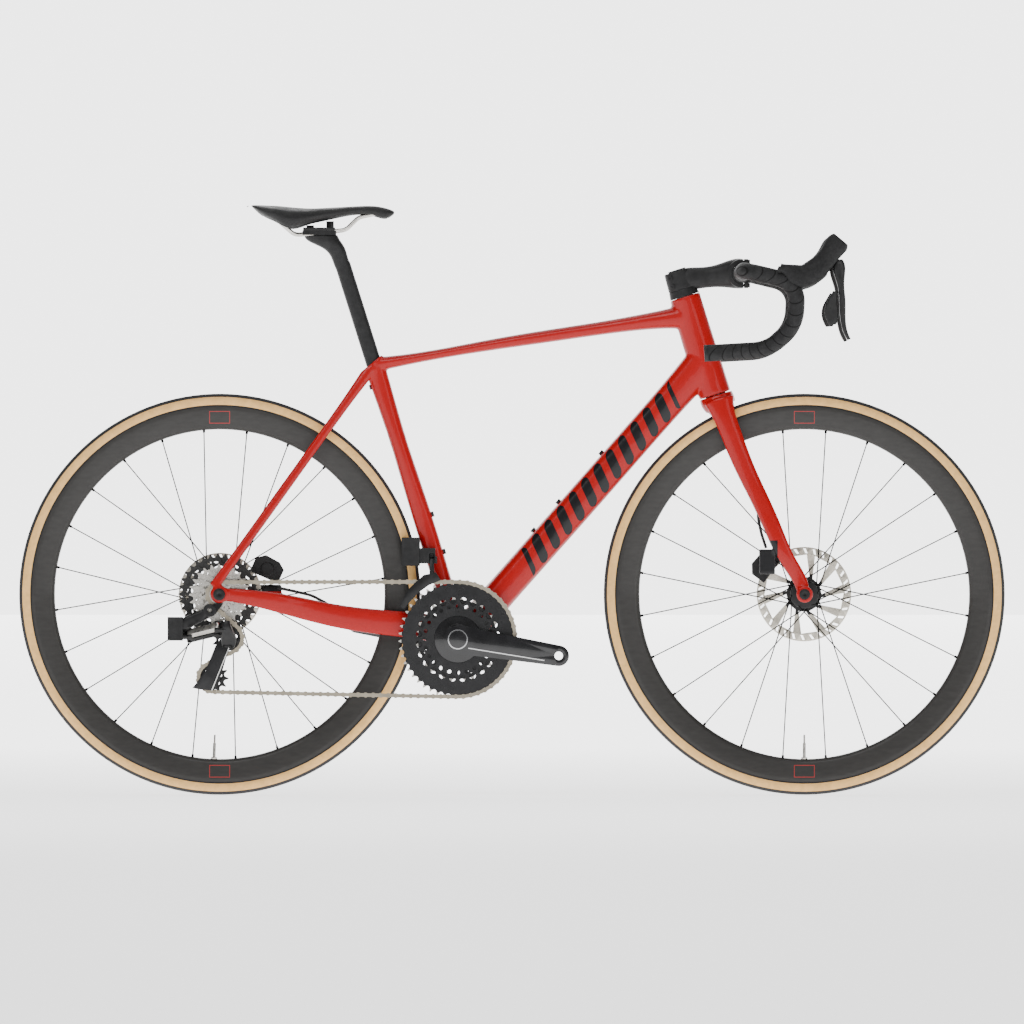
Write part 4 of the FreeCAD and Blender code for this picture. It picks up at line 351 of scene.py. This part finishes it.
SPECIAL = {
    "front_tyre": tyre_paint("front_tyre_paint", FRONT),
    "rear_tyre": tyre_paint("rear_tyre_paint", REAR),
    "front_rim": rim_paint("front_rim_paint", FRONT),
    "rear_rim": rim_paint("rear_rim_paint", REAR),
    "front_rotor": rotor_paint("front_rotor_paint", FRONT),
    "rear_rotor": rotor_paint("rear_rotor_paint", REAR),
    "rear_derailleur_cage": cage_paint(),
    "chainrings": ring_paint(),
}

# ---------------------------------------------------------------- skins over the CAD nodes


def copy_of(node):
    """A loose copy of a CAD node."""
    source = frame["nodes"][node]
    piece = bpy.data.objects.new(node + "_skin", source.data.copy())
    bpy.context.scene.collection.objects.link(piece)
    return piece


def apply_all(piece):
    """The piece with its modifiers baked into its mesh."""
    graph = bpy.context.evaluated_depsgraph_get()
    graph.update()
    mesh = bpy.data.meshes.new_from_object(piece.evaluated_get(graph))
    piece.modifiers.clear()
    piece.data = mesh
    return piece


def dress(piece, node, angle=35.0):
    """Smooth shading with sharp edges kept, the node's finish, and the node's body."""
    piece.data.materials.clear()
    slot = SLOT_OF[node]
    piece.data.materials.append(SPECIAL.get(node) or MATERIALS[slot])
    shade(piece, angle)
    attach(piece, BODY_OF[node])
    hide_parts(node)
    return piece


def shade(piece, angle):
    """Smooth shading, with edges sharper than the angle kept crisp."""
    form = bmesh.new()
    form.from_mesh(piece.data)
    for face in form.faces:
        face.smooth = True
    limit = math.radians(angle)
    for edge in form.edges:
        edge.smooth = not (len(edge.link_faces) == 2 and edge.calc_face_angle(0) > limit)
    form.to_mesh(piece.data)
    form.free()


def welded(piece):
    """The piece with the seams of its imported faces closed."""
    form = bmesh.new()
    form.from_mesh(piece.data)
    bmesh.ops.remove_doubles(form, verts=form.verts, dist=1e-6)
    form.to_mesh(piece.data)
    form.free()
    return piece


def plain(node, width=0.0004, angle=35.0):
    """A node copied as it is, with small bevels on its edges."""
    piece = welded(copy_of(node))
    if width:
        bevel = piece.modifiers.new("edges", "BEVEL")
        bevel.width = width
        bevel.segments = 2
        bevel.limit_method = "ANGLE"
        bevel.angle_limit = math.radians(40)
        bevel.use_clamp_overlap = True
        apply_all(piece)
    return dress(piece, node, angle)


def moulded(node, voxel, rounds, angle=60.0):
    """A node melted into one skin, so that its joints blend as moulded carbon or rubber does."""
    piece = welded(copy_of(node))
    remesh = piece.modifiers.new("remesh", "REMESH")
    remesh.mode = "VOXEL"
    remesh.voxel_size = voxel
    smooth = piece.modifiers.new("smooth", "SMOOTH")
    smooth.factor = 0.5
    smooth.iterations = rounds
    apply_all(piece)
    return dress(piece, node, angle)


MOULDED = {
    "frame": (0.0016, 16),
    "fork": (0.0014, 8),
    "stem": (0.0010, 6),
    "brake_hoods": (0.0010, 8),
    "saddle_cover": (0.0016, 10),
    "front_brake_caliper": (0.0006, 1),
    "rear_brake_caliper": (0.0006, 1),
    "rear_derailleur_knuckle": (0.0006, 5),
    "rear_derailleur_lower_knuckle": (0.0006, 5),
    "derailleur_batteries": (0.0008, 6),
    "front_derailleur_body": (0.0006, 5),
    "seatpost": (0.0012, 4),
}
COARSE = {"chain", "front_spokes", "rear_spokes", "cassette_sprockets", "chainrings"}
for node in sorted(frame["nodes"]):
    if node in MOULDED:
        voxel, rounds = MOULDED[node]
        moulded(node, voxel * (1), rounds)
    elif node in COARSE:
        plain(node, 0)
    else:
        plain(node)

# ---------------------------------------------------------------- camera, light and floor

def sheet_of(name, corners, level, glow, far_glow=None):
    """A flat white studio sheet that shines a little of its own, and more towards the back where told."""
    mesh = bpy.data.meshes.new(name)
    mesh.from_pydata(corners, [], [(0, 1, 2, 3)])
    item = bpy.data.objects.new(name, mesh)
    bpy.context.scene.collection.objects.link(item)
    paint = Paint(name + "_white", (level, level, level), 0.8, specular=0.1)
    paint.shader.inputs["Emission Color"].default_value = (1, 1, 1, 1)
    paint.shader.inputs["Emission Strength"].default_value = glow
    if far_glow:
        spread = paint.add("ShaderNodeMapRange", From_Min=0.3, From_Max=8.0, To_Min=glow, To_Max=far_glow)
        paint.links.new(paint.axis("Y"), spread.inputs["Value"])
        paint.links.new(spread.outputs["Result"], paint.shader.inputs["Emission Strength"])
    mesh.materials.append(paint.mottle(3, 0.01).material)
    return item


FAR = 70
HIGH = 60
sheet_of("floor", [(-FAR, -FAR, 0), (FAR, -FAR, 0), (FAR, FAR, 0), (-FAR, FAR, 0)], 0.6, 1.9, 3.5)
sheet_of("back_wall", [(-FAR, FAR, -1), (FAR, FAR, -1), (FAR, FAR, HIGH), (-FAR, FAR, HIGH)], 0.1, 3.6)
sheet_of("front_wall", [(-FAR, -FAR, -1), (FAR, -FAR, -1), (FAR, -FAR, HIGH), (-FAR, -FAR, HIGH)], 0.1, 0.12)
sheet_of("left_wall", [(-FAR, -FAR, -1), (-FAR, FAR, -1), (-FAR, FAR, HIGH), (-FAR, -FAR, HIGH)], 0.1, 0.12)
sheet_of("right_wall", [(FAR, -FAR, -1), (FAR, FAR, -1), (FAR, FAR, HIGH), (FAR, -FAR, HIGH)], 0.1, 0.12)


def light(name, place, size, power, aim=(0, 0, 0.5)):
    """A soft rectangular lamp aimed at the bicycle."""
    lamp = bpy.data.lights.new(name, "AREA")
    lamp.shape = "RECTANGLE"
    lamp.size, lamp.size_y = size
    lamp.energy = power
    lamp.color = (1, 1, 1)
    item = bpy.data.objects.new(name, lamp)
    item.location = place
    item.rotation_mode = "QUATERNION"
    item.rotation_quaternion = (Vector(aim) - Vector(place)).to_track_quat("-Z", "Y")
    bpy.context.scene.collection.objects.link(item)


light("key", (-1.2, -4.0, 4.5), (4, 2.5), 150)
light("top", (0.3, 0.3, 4.5), (5, 2), 70)
light("fill", (3.5, -5.0, 1.5), (2, 3), 40)
world = bpy.data.worlds.new("studio")
world.use_nodes = True
world.node_tree.nodes["Background"].inputs["Color"].default_value = (1, 1, 1, 1)
world.node_tree.nodes["Background"].inputs["Strength"].default_value = 0.05
bpy.context.scene.world = world
lens = bpy.data.cameras.new("camera")
lens.lens = 832
lens.sensor_width = 36
lens.clip_end = 200
camera = bpy.data.objects.new("camera", lens)
camera.location = (0.0, -40.0, 0.478)
camera.rotation_euler = (math.radians(90), 0, 0)
bpy.context.scene.collection.objects.link(camera)
bpy.context.scene.camera = camera
